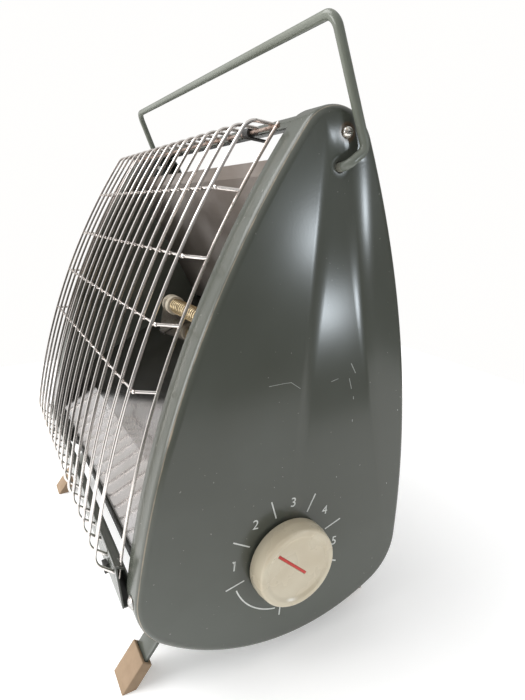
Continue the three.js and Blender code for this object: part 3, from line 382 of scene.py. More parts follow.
class Finish(Nodes):
    """A material: its uniform values are set on the shader, its patterns are linked."""

    def __init__(self, name, roughness, metallic=0, **fixed):
        self.material = bpy.data.materials.new(name)
        self.material.use_nodes = True
        super().__init__(self.material.node_tree)
        self.shader = self.tree.nodes["Principled BSDF"]
        self.place = self.node("ShaderNodeTexCoord", output="Object")
        self.set(roughness=roughness, metallic=metallic, **fixed)

    def set(self, **values):
        for name, value in values.items():
            self.feed(self.shader.inputs[name.replace("_", " ").title()], value)

    def noise(self, per_metre, detail=3, stretch=(1, 1, 1), roughness=0.5):
        scaled = self.node("ShaderNodeMapping", inputs={"Vector": self.place, "Scale": stretch})
        inputs = {"Vector": scaled, "Scale": per_metre, "Detail": detail, "Roughness": roughness}
        return self.node("ShaderNodeTexNoise", inputs=inputs)

    def relief(self, height, depth, strength=1):
        inputs = {"Height": height, "Distance": depth, "Strength": strength}
        self.set(normal=self.node("ShaderNodeBump", inputs=inputs))

    def painted(self, name):
        """A value that the piece's mesh carries at its vertices."""
        return self.node("ShaderNodeAttribute", {"attribute_name": name}, output="Fac")

    def distance(self, point):
        """Metres from a point of the standing body, given in its own millimetres."""
        kind = {"operation": "DISTANCE"}
        inputs = {0: self.place, 1: STANDING @ point}
        return self.node("ShaderNodeVectorMath", kind, inputs, "Value")

    def off_line(self, begin, end):
        """Metres from a straight line between two points of the standing body."""
        begin, end = STANDING @ begin, STANDING @ end
        way = end - begin
        from_begin = self.vector("SUBTRACT", self.place, begin)
        share = self.vector("DOT_PRODUCT", from_begin, way / way.length_squared)
        share = self.node("ShaderNodeClamp", inputs={"Value": share})
        kind = {"operation": "SCALE"}
        nearest = self.node("ShaderNodeVectorMath", kind, {0: way, "Scale": share})
        return self.vector("DISTANCE", from_begin, nearest)

    def vector(self, operation, first, second):
        """A difference is a vector. A distance or a dot product is a value."""
        output = 0 if operation == "SUBTRACT" else "Value"
        kind = {"operation": operation}
        return self.node("ShaderNodeVectorMath", kind, {0: first, 1: second}, output)


def enamel(name, scarred=False, lift=1):
    """Grey-green stove enamel: cloudy gloss, a little orange peel, rubbed creases."""
    made = Finish(name, 0.27)
    cloud = made.noise(9, 4)
    streak = made.noise(14, 3, (1, 1, 0.25))
    peel = made.noise(900, 1)
    speck = made.step(made.noise(420, 2), 0.745, 0.76)
    dark, light = PAINT_DARK * lift, PAINT_LIGHT * lift
    base = made.blend(made.step(cloud, 0.3, 0.7), (*dark, 1), (*light, 1))
    base = made.blend(speck * 0.4, base, DUST)
    chip = made.step(made.painted("rub") * (0.55 + 0.5 * made.noise(90, 3)), 0.5, 0.95)
    base = made.blend(chip * 0.75, base, WORN_EDGE)
    if scarred:
        base = scars(made, base)
    made.set(base_color=base)
    made.set(roughness=0.13 + 0.1 * streak + 0.06 * cloud + 0.2 * chip)
    made.relief(peel, 0.00002, 0.5)
    return made


def scars(made, base):
    """The scratches of the control's cheek, and the rust round its stop screw."""
    ragged = made.noise(1200, 2)
    marks = 0
    for begin, end, wide in SCRATCHES:
        off = made.off_line(Vector((RIGHT, *begin)), Vector((RIGHT, *end)))
        edge = wide * MILLIMETRE / 2
        marks = marks + (1 - made.step(off + ragged * edge, edge * 0.7, edge * 1.6))
    base = made.blend(made.step(marks, 0, 1) * 0.8, base, SCRATCHED)
    ring = made.distance(Vector((RIGHT, STOP_Y, STOP_Z)))
    rust = made.step(ring, 0.0030, 0.0036) * (1 - made.step(ring, 0.0042, 0.0058))
    return made.blend(rust * (0.4 + 0.5 * made.noise(500, 3)), base, SCREW_RUST)


def cheek(with_bush):
    bm = bmesh.new()
    rim = outline(bm, RIGHT)
    plate = bmesh.ops.contextual_create(bm, geom=rim)["faces"][0]
    if plate.normal.x < 0:
        plate.normal_flip()
    turned = bmesh.ops.extrude_edge_only(bm, edges=rim)["geom"]
    lip = [part for part in turned if isinstance(part, bmesh.types.BMVert)]
    bmesh.ops.translate(bm, vec=(-FLANGE, 0, 0), verts=lip)
    bmesh.ops.bevel(
        bm, geom=rim, offset=CREASE, offset_type="OFFSET", affect="EDGES", segments=7,
        profile=0.5, material=-1,
    )
    bmesh.ops.recalc_face_normals(bm, faces=bm.faces[:])
    widest = max(bm.faces, key=lambda face: face.calc_area())
    if widest.normal.x < 0:
        bmesh.ops.reverse_faces(bm, faces=bm.faces[:])
    bmesh.ops.solidify(bm, geom=bm.faces[:], thickness=SHEET)
    hole = HANDLE_ROD / 2 + 2 * GAP
    drill = [
        lathe([(0, -SHEET), (hole, -SHEET), (hole, 2 * SHEET), (0, 2 * SHEET)], 40),
        lathe([(0, -SHEET), (hole / 2, -SHEET), (hole / 2, 2 * SHEET), (0, 2 * SHEET)], 24),
    ]
    bmesh.ops.translate(drill[0], vec=(RIGHT - SHEET, PIVOT_Y, PIVOT), verts=drill[0].verts[:])
    bmesh.ops.translate(drill[1], vec=(RIGHT - SHEET, STOP_Y, STOP_Z), verts=drill[1].verts[:])
    dish = lathe(
        [(0, -DISH_DEEP), (DISH - DISH_SLOPE, -DISH_DEEP), (DISH - 0.8, -DISH_DEEP * 0.6), (DISH, 0.02),
         (DISH, 1), (0, 1)], 56, (RIGHT, PIVOT_Y, PIVOT),
    )
    tools = [drill[0], drill[1]]
    if with_bush:
        bush = [(0, -2 * SHEET), (BUSH_HOLE, -2 * SHEET), (BUSH_HOLE, SHEET), (0, SHEET)]
        tools.append(lathe(bush, 40, (RIGHT, 0, 0)))
    bm = carve(bm, dish)
    bm = carve(bm, gather(tools))
    rub = bm.verts.layers.float.new("rub")
    bm.normal_update()
    for vert in bm.verts:
        on_crease = vert.co.x > RIGHT - CREASE - GAP and vert.normal.x > 0.1
        vert[rub] = on_crease and max(0, 1 - abs(vert.normal.x - 0.6) / 0.35)
    return bm


scarred_enamel = enamel("scarred_enamel", scarred=True)
plain_enamel = enamel("enamel")
piece("control_cheek", cheek(True), scarred_enamel, stands_for=["right_cheek"])
plain_cheek = cheek(False)
bmesh.ops.transform(plain_cheek, matrix=Matrix.Scale(-1, 4, (1, 0, 0)), verts=plain_cheek.verts[:])
bmesh.ops.recalc_face_normals(plain_cheek, faces=plain_cheek.faces[:])
piece("plain_cheek", plain_cheek, plain_enamel, stands_for=["left_cheek"])


# ---- dial ----
# White marks printed on the control's cheek: six ticks with the numbers 1 to 5 between them,
# a mark for off below, and an arc that leads to it from the first tick.
TICK_FROM = 29.7
TICK_TO = 42
TICK_WIDE = 0.85
TICK_FIRST = radians(-18.5)
TICK_STEP = radians(43.4)
TICK_COUNT = 6
OFF_ANGLE = radians(-90)
NUMBER_RADIUS = 35.8
NUMBER_TALL = 8.6  # type size, whose figures stand 6.2 high
FIGURE_TALL = 6.2
ARC_RADIUS = 36
ARC_CLEAR = radians(6)
INK = 0.04  # the print stands this proud
INK_SUNK = 0.05


def on_dial(angle, radius):
    """A point of the cheek's face. Angles start at the front and turn up and back."""
    return Vector((RIGHT, -radius * cos(angle), radius * sin(angle)))


def tick(angle):
    bm = bmesh.new()
    bmesh.ops.create_cube(bm, size=1)
    size = (INK + INK_SUNK, TICK_TO - TICK_FROM, TICK_WIDE)
    bmesh.ops.scale(bm, vec=size, verts=bm.verts[:])
    upright = [edge for edge in bm.edges if abs(edge.verts[0].co.x - edge.verts[1].co.x) > INK / 2]
    bmesh.ops.bevel(
        bm, geom=upright, offset=TICK_WIDE / 4, affect="EDGES", segments=2, profile=0.5, material=-1
    )
    turn = Matrix.Rotation(pi - angle, 4, "X")
    reach = on_dial(angle, (TICK_FROM + TICK_TO) / 2) + Vector(((INK - INK_SUNK) / 2, 0, 0))
    bmesh.ops.transform(bm, matrix=Matrix.Translation(reach) @ turn, verts=bm.verts[:])
    return bm


def dial_arc():
    bm = bmesh.new()
    begin = TICK_FIRST - ARC_CLEAR
    half = TICK_WIDE / 2
    low, high = -INK_SUNK, INK
    corners = [(low, -half), (high, -half), (high, half), (low, half)]
    start = []
    for x, out in corners:
        start.append(bm.verts.new(on_dial(begin, ARC_RADIUS + out) + Vector((x, 0, 0))))
    first = bm.faces.new(start)
    bmesh.ops.spin(
        bm, geom=[first], cent=(RIGHT, 0, 0), axis=(1, 0, 0), steps=24,
        angle=begin - (OFF_ANGLE + ARC_CLEAR),
    )
    bmesh.ops.recalc_face_normals(bm, faces=bm.faces[:])
    return bm


def figure_one(angle):
    """A plain stem with a short flag, set in the middle of its space."""
    strokes = []
    stem = (FIGURE_TALL, 0, 0)
    flag = (FIGURE_TALL / 3, radians(40), FIGURE_TALL / 2.7)
    for long, lean, rise in (stem, flag):
        bm = bmesh.new()
        bmesh.ops.create_cube(bm, size=1)
        bmesh.ops.scale(bm, vec=(INK + INK_SUNK, TICK_WIDE, long), verts=bm.verts[:])
        turn = Matrix.Rotation(lean, 3, "X")
        bmesh.ops.rotate(bm, cent=(0, 0, 0), matrix=turn, verts=bm.verts[:])
        shift = Vector(((INK - INK_SUNK) / 2, -sin(lean) * long / 2, rise))
        bmesh.ops.translate(bm, vec=on_dial(angle, NUMBER_RADIUS) + shift, verts=bm.verts[:])
        strokes.append(bm)
    return gather(strokes)


def number(figure, angle):
    text = bpy.data.curves.new("figure", "FONT")
    text.body = figure
    text.size = NUMBER_TALL
    text.align_x = "CENTER"
    text.align_y = "CENTER"
    text.extrude = (INK + INK_SUNK) / 2
    made = bpy.data.objects.new("figure", text)
    bpy.context.scene.collection.objects.link(made)
    graph = bpy.context.evaluated_depsgraph_get()
    mesh = bpy.data.meshes.new_from_object(made.evaluated_get(graph))
    bm = bmesh.new()
    bm.from_mesh(mesh)
    bpy.data.objects.remove(made)
    bpy.data.curves.remove(text)
    bpy.data.meshes.remove(mesh)
    facing = Matrix(((0, 0, 1, 0), (1, 0, 0, 0), (0, 1, 0, 0), (0, 0, 0, 1)))
    place = on_dial(angle, NUMBER_RADIUS) + Vector(((INK - INK_SUNK) / 2, 0, 0))
    bmesh.ops.transform(bm, matrix=Matrix.Translation(place) @ facing, verts=bm.verts[:])
    bmesh.ops.remove_doubles(bm, verts=bm.verts[:], dist=0.0005)
    return bm


def moulded(name, light, dark, roughness, per_metre, depth, **fixed):
    """A moulded or fired piece with a faint mottle and a fine skin."""
    made = Finish(name, roughness, **fixed)
    mottle = made.step(made.noise(per_metre, 4), 0.3, 0.7)
    made.set(base_color=made.blend(mottle, (*light, 1), (*dark, 1)))
    made.set(roughness=roughness + 0.1 * mottle)
    made.relief(made.noise(per_metre * 12, 2), depth, 0.5)
    return made


ink = moulded("dial_ink", (0.70, 0.71, 0.68), (0.58, 0.60, 0.57), 0.45, 300, 0.00001)
marks = [tick(TICK_FIRST + TICK_STEP * i) for i in range(TICK_COUNT)]
marks += [number(str(i + 1), TICK_FIRST + TICK_STEP * (i + 0.5)) for i in range(1, TICK_COUNT - 1)]
marks += [figure_one(TICK_FIRST + TICK_STEP / 2), tick(OFF_ANGLE), dial_arc()]
piece("dial_print", gather(marks), ink)


# ---- panels, pan and bottom rail ----
# Folded steel sheets enamelled like the cheeks: a curved cap over the top, a louvred back,
# a slotted pan below and a channel along the front that the guard's wires hook into.
def softened(node, width, segments=2, flat=1, sharp=30):
    """A copy of a CAD node with its loose triangles joined and its sharp edges eased."""
    bm = bmesh.new()
    bm.from_mesh(frame["nodes"][node].data)
    bmesh.ops.remove_doubles(bm, verts=bm.verts[:], dist=0.00002)
    bmesh.ops.dissolve_limit(
        bm, angle_limit=radians(flat), verts=bm.verts[:], edges=bm.edges[:],
        use_dissolve_boundaries=False,
    )
    joined = [edge for edge in bm.edges if edge.is_manifold]
    hard = [edge for edge in joined if edge.calc_face_angle() > radians(sharp)]
    bmesh.ops.bevel(
        bm, geom=hard, offset=width * MILLIMETRE, affect="EDGES", segments=segments, profile=0.5,
        material=-1, clamp_overlap=True,
    )
    return bm


for panel, name in (
    ("top_panel", "top_cap"), ("back_panel", "louvred_back"), ("bottom_pan", "slotted_pan"),
    ("bottom_rail", "front_rail"),
):
    piece(name, softened(panel, 0.2), plain_enamel, stands_for=[panel], placed=True)


# ---- reflectors ----
# Two bright sheets meet in a trough behind the element. The lower one is creased and still
# polished. The upper one is drawn rougher and dark brown, and has a pale hem along its top.
def sheet_metal(name, light, dark, gloss, smear):
    """Rolled sheet with a grain along its length, smeared and clouded by heat."""
    made = Finish(name, gloss, 1)
    grain = made.noise(700, 2, (0.03, 1, 1))
    cloud = made.step(made.noise(16, 4), 0.3, 0.7)
    sag = made.noise(11, 1)
    base = made.blend(cloud, (*dark, 1), (*light, 1))
    made.set(base_color=base)
    made.set(roughness=gloss + smear * cloud + 0.08 * grain)
    made.relief(sag + 0.004 * grain, 0.0009, 0.5)
    return made


polished = sheet_metal("polished_sheet", (0.50, 0.49, 0.49), (0.38, 0.36, 0.345), 0.05, 0.05)
dulled = sheet_metal("dulled_sheet", (0.36, 0.33, 0.31), (0.24, 0.205, 0.18), 0.36, 0.12)
dress(polished, "polished_reflector", "lower_reflector")
dress(dulled, "dulled_reflector", "upper_reflector")


# ---- guard ----
# Round wires, nickel plated: uprights bent back at both ends, cross wires welded behind
# them, two rim wires along the cheeks and a rod along the top, rusted by its welds.
WIRE = 2
WIRE_COUNT = 16
STANDOFF = 17
RIM_STANDOFF = 4
RIM_INSET = 21.5
WIRE_INSET = 27
WIRE_TOP = 241
WIRE_BOTTOM = 4
WIRE_BEND = 9
WIRE_TAIL = 3
CROSS_TOP = 209
CROSS_PITCH = 35.5
CROSS_COUNT = 4
CROSS_OVERHANG = 1.5
WELD = 1.8
RAIL_TOP = 5.5
RAIL_BOTTOM = -23
RAIL_PROUD = 7
RAIL_HOLE = -3.5
RAIL_RAKE = 5.5
RIM_FOOT = -4
WIRE_SIDES = 10
CROSS_WIRE = WIRE * 0.9  # the cross wires are drawn a little thinner
WELD_SIZE = (2.6, 1.5, 2.4)
END_WELD_SIZE = (3.8, 2.0, 2.6)
NICKEL_DULL = (0.74, 0.70, 0.67, 1)
NICKEL_BRIGHT = (0.90, 0.86, 0.83, 1)
NICKEL_FILM = (0.33, 0.21, 0.15, 1)
NICKEL_SCAB = (0.12, 0.07, 0.045, 1)


def bend(corners, radius, steps):
    """The corners of a path rounded to a radius. A straight one is left out."""
    points = [corners[0]]
    for before, corner, after in zip(corners, corners[1:], corners[2:]):
        back, on = (before - corner).normalized(), (after - corner).normalized()
        turn = back.angle(on)
        if turn > radians(179):
            continue
        reach = radius / tan(turn / 2)
        centre = corner + (back + on).normalized() * (radius / sin(turn / 2))
        begin, end = corner + back * reach - centre, corner + on * reach - centre
        begin, end = begin.normalized(), end.normalized()
        for i in range(steps + 1):
            points.append(centre + begin.slerp(end, i / steps) * radius)
    return points + [corners[-1]]


def drawn(points, diameter, sides=WIRE_SIDES):
    """A round wire drawn along points by turning and extruding one ring, its ends closed."""
    bm = bmesh.new()
    way = (points[1] - points[0]).normalized()
    turn = Vector((0, 0, 1)).rotation_difference(way).to_matrix().to_4x4()
    start = Matrix.Translation(points[0]) @ turn
    made = bmesh.ops.create_circle(bm, segments=sides, radius=diameter / 2, matrix=start)
    ring = made["verts"]
    edges = bm.edges[:]
    first = edges[:]
    for i in range(1, len(points)):
        extruded = bmesh.ops.extrude_edge_only(bm, edges=edges)["geom"]
        ring = [part for part in extruded if isinstance(part, bmesh.types.BMVert)]
        edges = [
            part for part in extruded
            if isinstance(part, bmesh.types.BMEdge) and all(v in ring for v in part.verts)
        ]
        bmesh.ops.translate(bm, vec=points[i] - points[i - 1], verts=ring)
        after = (points[min(i + 1, len(points) - 1)] - points[i - 1]).normalized()
        bmesh.ops.rotate(
            bm, cent=points[i], matrix=way.rotation_difference(after).to_matrix(), verts=ring
        )
        way = after
    bmesh.ops.contextual_create(bm, geom=first)
    bmesh.ops.contextual_create(bm, geom=edges)
    bmesh.ops.recalc_face_normals(bm, faces=bm.faces[:])
    return bm


rim_x = RIGHT - RIM_INSET
outer_x = RIGHT - WIRE_INSET
rod_z = WIRE_TOP + WIRE
rod_y = front_depth(rod_z, RIM_STANDOFF)
rail_top = Vector((-HALF_DEPTH - RAIL_PROUD, RAIL_TOP))
rail_bottom = rail_top + Vector((RAIL_RAKE, RAIL_BOTTOM - RAIL_TOP))
rail_hole = rail_top.lerp(rail_bottom, (RAIL_TOP - RAIL_HOLE) / (RAIL_TOP - RAIL_BOTTOM))
wire_xs = [-outer_x + 2 * outer_x * i / (WIRE_COUNT - 1) for i in range(WIRE_COUNT)]
RUN_STEPS = 26


def upright_wire(x):
    tail = Vector((x, rod_y + WIRE / 2, rod_z + WELD))
    shoulder = Vector((x, front_depth(rod_z + WELD, STANDOFF), rod_z + WELD))
    corner = Vector((x, front_depth(WIRE_BOTTOM, STANDOFF), WIRE_BOTTOM))
    hole = Vector((x, *rail_hole))
    end = hole + (hole - corner).normalized() * WIRE_TAIL
    high, low = WIRE_TOP - WIRE_BEND, WIRE_BOTTOM + 2 * WIRE_BEND
    run = []
    for k in range(RUN_STEPS + 1):
        z = high + (low - high) * k / RUN_STEPS
        run.append(Vector((x, front_depth(z, STANDOFF), z)))
    top = bend([tail, shoulder, run[0]], WIRE_BEND, 8)[:-1]
    foot = bend([run[-1], corner, end], WIRE_BEND, 8)[1:]
    return drawn(top + run + foot, WIRE)


def rim_wire(x):
    top = rod_z + WIRE
    points = []
    for k in range(RUN_STEPS + 1):
        z = top + (RIM_FOOT - top) * k / RUN_STEPS
        points.append(Vector((x, front_depth(z, RIM_STANDOFF), z)))
    return drawn(points, WIRE)


cross_heights = [CROSS_TOP - i * CROSS_PITCH for i in range(CROSS_COUNT)]
bow_x = outer_x + CROSS_OVERHANG


def cross_wire(height):
    front = front_depth(height, STANDOFF - CROSS_WIRE)
    back = front_depth(height, RIM_STANDOFF)
    corners = [
        Vector((-rim_x, back, height)), Vector((-bow_x, front, height)),
        Vector((bow_x, front, height)), Vector((rim_x, back, height)),
    ]
    return drawn(bend(corners, WIRE, 5), CROSS_WIRE)


def bead(place, size):
    """A spot weld: a small rounded lump."""
    bm = bmesh.new()
    bmesh.ops.create_icosphere(bm, subdivisions=2, radius=0.5)
    bmesh.ops.scale(bm, vec=size, verts=bm.verts[:])
    bmesh.ops.translate(bm, vec=place, verts=bm.verts[:])
    return bm


def rusted(bm, amount):
    """Marks how rusty a mesh is, from its place."""
    layer = bm.verts.layers.float.new("rust")
    for vert in bm.verts:
        vert[layer] = amount(vert.co)
    return bm


def near_top(co, low, high):
    return min(1, max(0, (co.z - low) / (high - low)))


def nickel(name):
    """Bright nickel wire, filmed with brown and scabbed with rust where the mesh says so."""
    made = Finish(name, 0.12, 1)
    stain = made.painted("rust")
    cloud = made.noise(70, 3)
    film = made.step(stain * (0.6 + 0.8 * cloud), 0.1, 1.1)
    scab = made.step(stain * (0.45 + made.noise(600, 3)), 0.72, 0.95)
    base = made.blend(cloud, NICKEL_DULL, NICKEL_BRIGHT)
    base = made.blend(film, base, NICKEL_FILM)
    base = made.blend(scab, base, NICKEL_SCAB)
    made.set(base_color=base)
    made.set(metallic=1 - 0.3 * film - 0.6 * scab)
    made.set(roughness=0.1 + 0.08 * cloud + 0.2 * film + 0.3 * scab)
    made.relief(made.noise(1500, 2), 0.00002, scab)
    return made


bright = nickel("bright_nickel")
uprights = gather([upright_wire(x) for x in wire_xs])
uprights = rusted(uprights, lambda co: 0.45 * near_top(co, 238, 247))
piece("guard_uprights", uprights, bright, stands_for=["wire_guard"])
rims = rusted(
    gather([rim_wire(-rim_x), rim_wire(rim_x)]), lambda co: 0.25 + 0.35 * near_top(co, 110, 240)
)
piece("guard_rims", rims, bright, stands_for=["guard_rim_right", "guard_rim_left"])
crosses = rusted(gather([cross_wire(z) for z in cross_heights]), lambda co: 0.1)
cross_nodes = [f"guard_cross_{i + 1}" for i in range(CROSS_COUNT)]
piece("guard_cross_wires", crosses, bright, stands_for=cross_nodes)
top_rod = drawn([Vector((-rim_x - WIRE, rod_y, rod_z)), Vector((rim_x + WIRE, rod_y, rod_z))], WIRE)
piece("guard_top_rod", rusted(top_rod, lambda co: 0.8), bright)

beads = []
for z in cross_heights:
    depth = front_depth(z, STANDOFF) + WIRE * 0.6
    beads += [bead((x, depth, z), WELD_SIZE) for x in wire_xs]
    beads += [bead((side * bow_x, depth + 0.4, z), END_WELD_SIZE) for side in (-1, 1)]
piece("guard_welds", rusted(gather(beads), lambda co: 0.05), bright)


def plated(name, light, dark, roughness):
    """A plated fastening, dulled and spotted."""
    made = Finish(name, roughness, 1)
    spots = made.step(made.noise(900, 3), 0.45, 0.7)
    made.set(base_color=made.blend(spots, (*light, 1), (*dark, 1)))
    made.set(roughness=roughness + 0.3 * spots)
    made.relief(made.noise(2500, 2), 0.00003, 0.4)
    return made


burnt = plated("burnt_weld", (0.11, 0.09, 0.08), (0.05, 0.04, 0.035), 0.5)
draw = random.Random(4)
splashes = []
for x in wire_xs:
    size = (3.2 + draw.random(), 2.4, 2.6 + 1.6 * draw.random())
    place = (x + draw.uniform(-0.4, 0.4), rod_y + 0.3, rod_z - draw.uniform(0.2, 1))
    splashes.append(bead(place, size))
piece("guard_top_welds", gather(splashes), burnt)


# ---- element ----
# Resistance wire wound on a scorched fireclay rod, straw-coloured from heat, with a fireclay
# cap and a brass post at each end. A zinc-plated stand holds each cap over the reflector.
FOCUS_Y = 16
FOCUS = 110
COIL_LENGTH = 214
COIL_DIAMETER = 15
COIL_WIRE = 1.2
COIL_PITCH = 4.6
COIL_STEPS = 14


def winding():
    bm = bmesh.new()
    start_x = -COIL_LENGTH / 2 + COIL_WIRE
    turns = round((COIL_LENGTH - 2 * COIL_WIRE) / COIL_PITCH)
    radius = (COIL_DIAMETER - COIL_WIRE) / 2
    place = Matrix.Translation((start_x, FOCUS_Y, FOCUS + radius))
    lying = place @ Matrix.Rotation(pi / 2, 4, "X")
    bmesh.ops.create_circle(
        bm, cap_ends=False, segments=6, radius=COIL_WIRE / 2, matrix=lying
    )
    ends = bm.edges[:]
    bmesh.ops.spin(
        bm, geom=bm.verts[:] + bm.edges[:], cent=(start_x, FOCUS_Y, FOCUS), axis=(1, 0, 0),
        dvec=(COIL_PITCH / COIL_STEPS, 0, 0), angle=2 * pi * turns, steps=turns * COIL_STEPS,
    )
    bmesh.ops.contextual_create(bm, geom=ends)
    open_edges = [edge for edge in bm.edges if edge.is_boundary]
    if open_edges:
        bmesh.ops.contextual_create(bm, geom=open_edges)
    bmesh.ops.recalc_face_normals(bm, faces=bm.faces[:])
    return bm


straw = plated("straw_wire", (0.62, 0.50, 0.30), (0.36, 0.25, 0.12), 0.3)
fireclay = moulded("fireclay", (0.72, 0.66, 0.54), (0.55, 0.48, 0.37), 0.75, 180, 0.0001)
brass = plated("brass", (0.66, 0.46, 0.16), (0.35, 0.22, 0.08), 0.3)
zinc = plated("zinc", (0.55, 0.55, 0.54), (0.30, 0.24, 0.19), 0.3)
piece("coiled_wire", winding(), straw, stands_for=["element_winding"])
scorched = moulded("scorched_fireclay", (0.16, 0.13, 0.11), (0.10, 0.08, 0.07), 0.8, 180, 0.0001)
dress(scorched, "fireclay", "element_rod")
for side in ("right", "left"):
    cap = "element_cap_" + side
    eased = softened(cap, 0.5, 3)
    piece("fireclay_cap_" + side, eased, fireclay, stands_for=[cap], placed=True)
    dress(zinc, "zinc_steel", "element_stand_" + side)
    dress(brass, "brass_terminal", "element_terminal_" + side)


# ---- handle ----
# One enamelled steel rod bent into a bail. Each end cranks back, turns in through a cheek
# and is kept there by a spring washer.
HANDLE_OUT = 4.8
HANDLE_TUCK = 13
HANDLE_BEND = 7
ANKLE_BEND = 5
RUB_IN_HOLE = 0.75  # how far the paint is rubbed
RUB_ALONG = 0.35
HANDLE_PAINTED_LIGHT = 2.1  # painted light: the handle's enamel is drawn this much lighter than the body's
leg_x = RIGHT + HANDLE_OUT
tuck = RIGHT - SHEET - HANDLE_TUCK
bail_half = [
    Vector((tuck, PIVOT_Y, PIVOT)), Vector((leg_x, PIVOT_Y, PIVOT)),
    Vector((leg_x, leg_depth(LEG_FOOT), PIVOT + LEG_FOOT)),
    Vector((leg_x, PIVOT_Y - HANDLE_FORWARD, PIVOT + HANDLE_REACH)),
]
ankle = bend(bail_half, ANKLE_BEND, 10)[:-1]
knuckle = bend(
    [bail_half[2], bail_half[3], Vector((0, bail_half[3].y, bail_half[3].z))], HANDLE_BEND, 10
)[1:-1]
right_half = ankle + knuckle
left_half = [Vector((-p.x, p.y, p.z)) for p in reversed(right_half)]
bail = drawn(right_half + left_half, HANDLE_ROD, 24)
rub = bail.verts.layers.float.new("rub")
for vert in bail.verts:
    in_hole = abs(vert.co.x) < leg_x - HANDLE_ROD / 2 and vert.co.z < PIVOT + LEG_FOOT
    vert[rub] = RUB_IN_HOLE if in_hole else RUB_ALONG
# Painted light: the handle gets a lighter copy of the body's enamel.
handle_enamel_painted_light = enamel("handle_enamel_painted_light", lift=HANDLE_PAINTED_LIGHT)
piece("bail_handle", bail, handle_enamel_painted_light, "handle", ["handle"])
dress(zinc, "zinc_steel", "handle_clip_right", "handle_clip_left")


# ---- screws ----
# Domed cross-head screws: one beside each end of the handle, which stops it, and three in
# each flange, which hold the rail and the back. Their plating is spotted with rust.
SCREW = 4
STOP_RISE = 3.1
GRIP = 6  # shank behind the head
CROSS_TIP = 0.16  # size of the cross at its foot and mouth, in head radii
CROSS_MOUTH = 0.72
CROSS_THIN = 0.22
CROSS_UP = 0.85  # its middle, in head heights
FLANGE_MIDDLE = RIGHT - FLANGE / 2


def cross_head(radius, rise, grip, steps=32):
    """A domed screw along +x, its head on x = 0, with a cross cut into it."""
    ball = (radius**2 + rise**2) / (2 * rise)
    spread = asin(min(1, radius / ball)) if ball > rise else pi / 2
    turns = [spread * k / 7 for k in range(8)]
    dome = [(ball * sin(turn), rise - ball + ball * cos(turn)) for turn in turns]
    profile = dome + [(radius, GAP), (SCREW / 2, GAP), (SCREW / 2, -grip), (0, -grip)]
    body = lathe(profile, steps)
    slots = []
    for turn in (0, pi / 2):
        slot = bmesh.new()
        bmesh.ops.create_cone(
            slot, cap_ends=True, segments=4, depth=rise,
            radius1=radius * CROSS_TIP, radius2=radius * CROSS_MOUTH,
        )
        flatten = Matrix.Diagonal((1, CROSS_THIN, 1, 1)) @ Matrix.Rotation(pi / 4, 4, "Z")
        along = Matrix.Rotation(turn, 4, "X") @ Matrix.Rotation(pi / 2, 4, "Y")
        place = Matrix.Translation((rise * CROSS_UP, 0, 0))
        bmesh.ops.transform(slot, matrix=place @ along @ flatten, verts=slot.verts[:])
        slots.append(slot)
    for slot in slots:
        body = carve(body, slot)
    return body


def stood(bm, foot, way):
    """Turns a piece made along +x to point along a direction from its foot."""
    turn = Vector((1, 0, 0)).rotation_difference(way).to_matrix().to_4x4()
    bmesh.ops.transform(bm, matrix=Matrix.Translation(foot) @ turn, verts=bm.verts[:])
    return bm


RAIL_SCREW = -12
BACK_SCREW_HIGH = 165
BACK_SCREW_LOW = 40
chrome = plated("screw_plate", (0.72, 0.70, 0.66), (0.50, 0.42, 0.34), 0.16)
spots = (
    ("rail_screw", CORNER, RAIL_SCREW, -1), ("back_screw_high", SIDE, BACK_SCREW_HIGH, 1),
    ("back_screw_low", SIDE, BACK_SCREW_LOW, 1),
)
for side, sign in (("right", 1), ("left", -1)):
    stop = cross_head(STOP_HEAD, STOP_RISE, GRIP)
    stop = stood(stop, Vector((RIGHT, STOP_Y, STOP_Z)), Vector((1, 0, 0)))
    if sign < 0:
        turn = Matrix.Rotation(pi, 3, "Z")
        bmesh.ops.rotate(stop, cent=(0, 0, 0), matrix=turn, verts=stop.verts[:])
        bmesh.ops.translate(stop, vec=(0, 2 * STOP_Y, 0), verts=stop.verts[:])
    piece("stop_screw_" + side, stop, chrome, stands_for=["handle_stop_" + side])
    for name, (y, z, radius), height, back in spots:
        angle = asin((height - z) / radius)
        way = Vector((0, back * cos(angle), sin(angle)))
        foot = Vector((sign * FLANGE_MIDDLE, back * (y + radius * cos(angle)), height))
        screw = stood(cross_head(SCREW, SCREW / 2, GRIP, 24), foot, way)
        node = f"{name}_{side}"
        piece("domed_" + node, screw, zinc, stands_for=[node])
    dress(zinc, "zinc_steel", "strap_rivet_front_" + side, "strap_rivet_rear_" + side)


# ---- control knob ----
# A cream moulding with a flared skirt, a rounded rim and a shallow dished face, pushed onto
# the regulator's shaft. A red bar is let into the face.
KNOB_RADIUS = 25
KNOB_FOOT = 26.5
KNOB_PROUD = 13.6
KNOB_DISH = 19.5
KNOB_HOLLOW = 1.3
KNOB_CLEAR = 1.6
KNOB_WALL = 2.4
KNOB_LIP = 2.2  # slope from the dish up to the rim
KNOB_EASE = 0.3  # the rim is this much wider than the nominal radius
RIM_ROUND = 1.9
FOOT_ROUND = 0.7
HUB_WALL = 3
SHAFT = 6
POINTER_ANGLE = radians(142.5)
POINTER_LONG = 26
POINTER_WIDE = 1.6
POINTER_SHIFT = 5
POINTER_THICK = 0.8
POINTER_SUNK = 0.3
POINTER_SOFT = 0.12
POINTER_SLOT = 0.15  # the slot it lies in is this much larger


def flat(*pairs):
    return [Vector((radius, distance, 0)) for radius, distance in pairs]


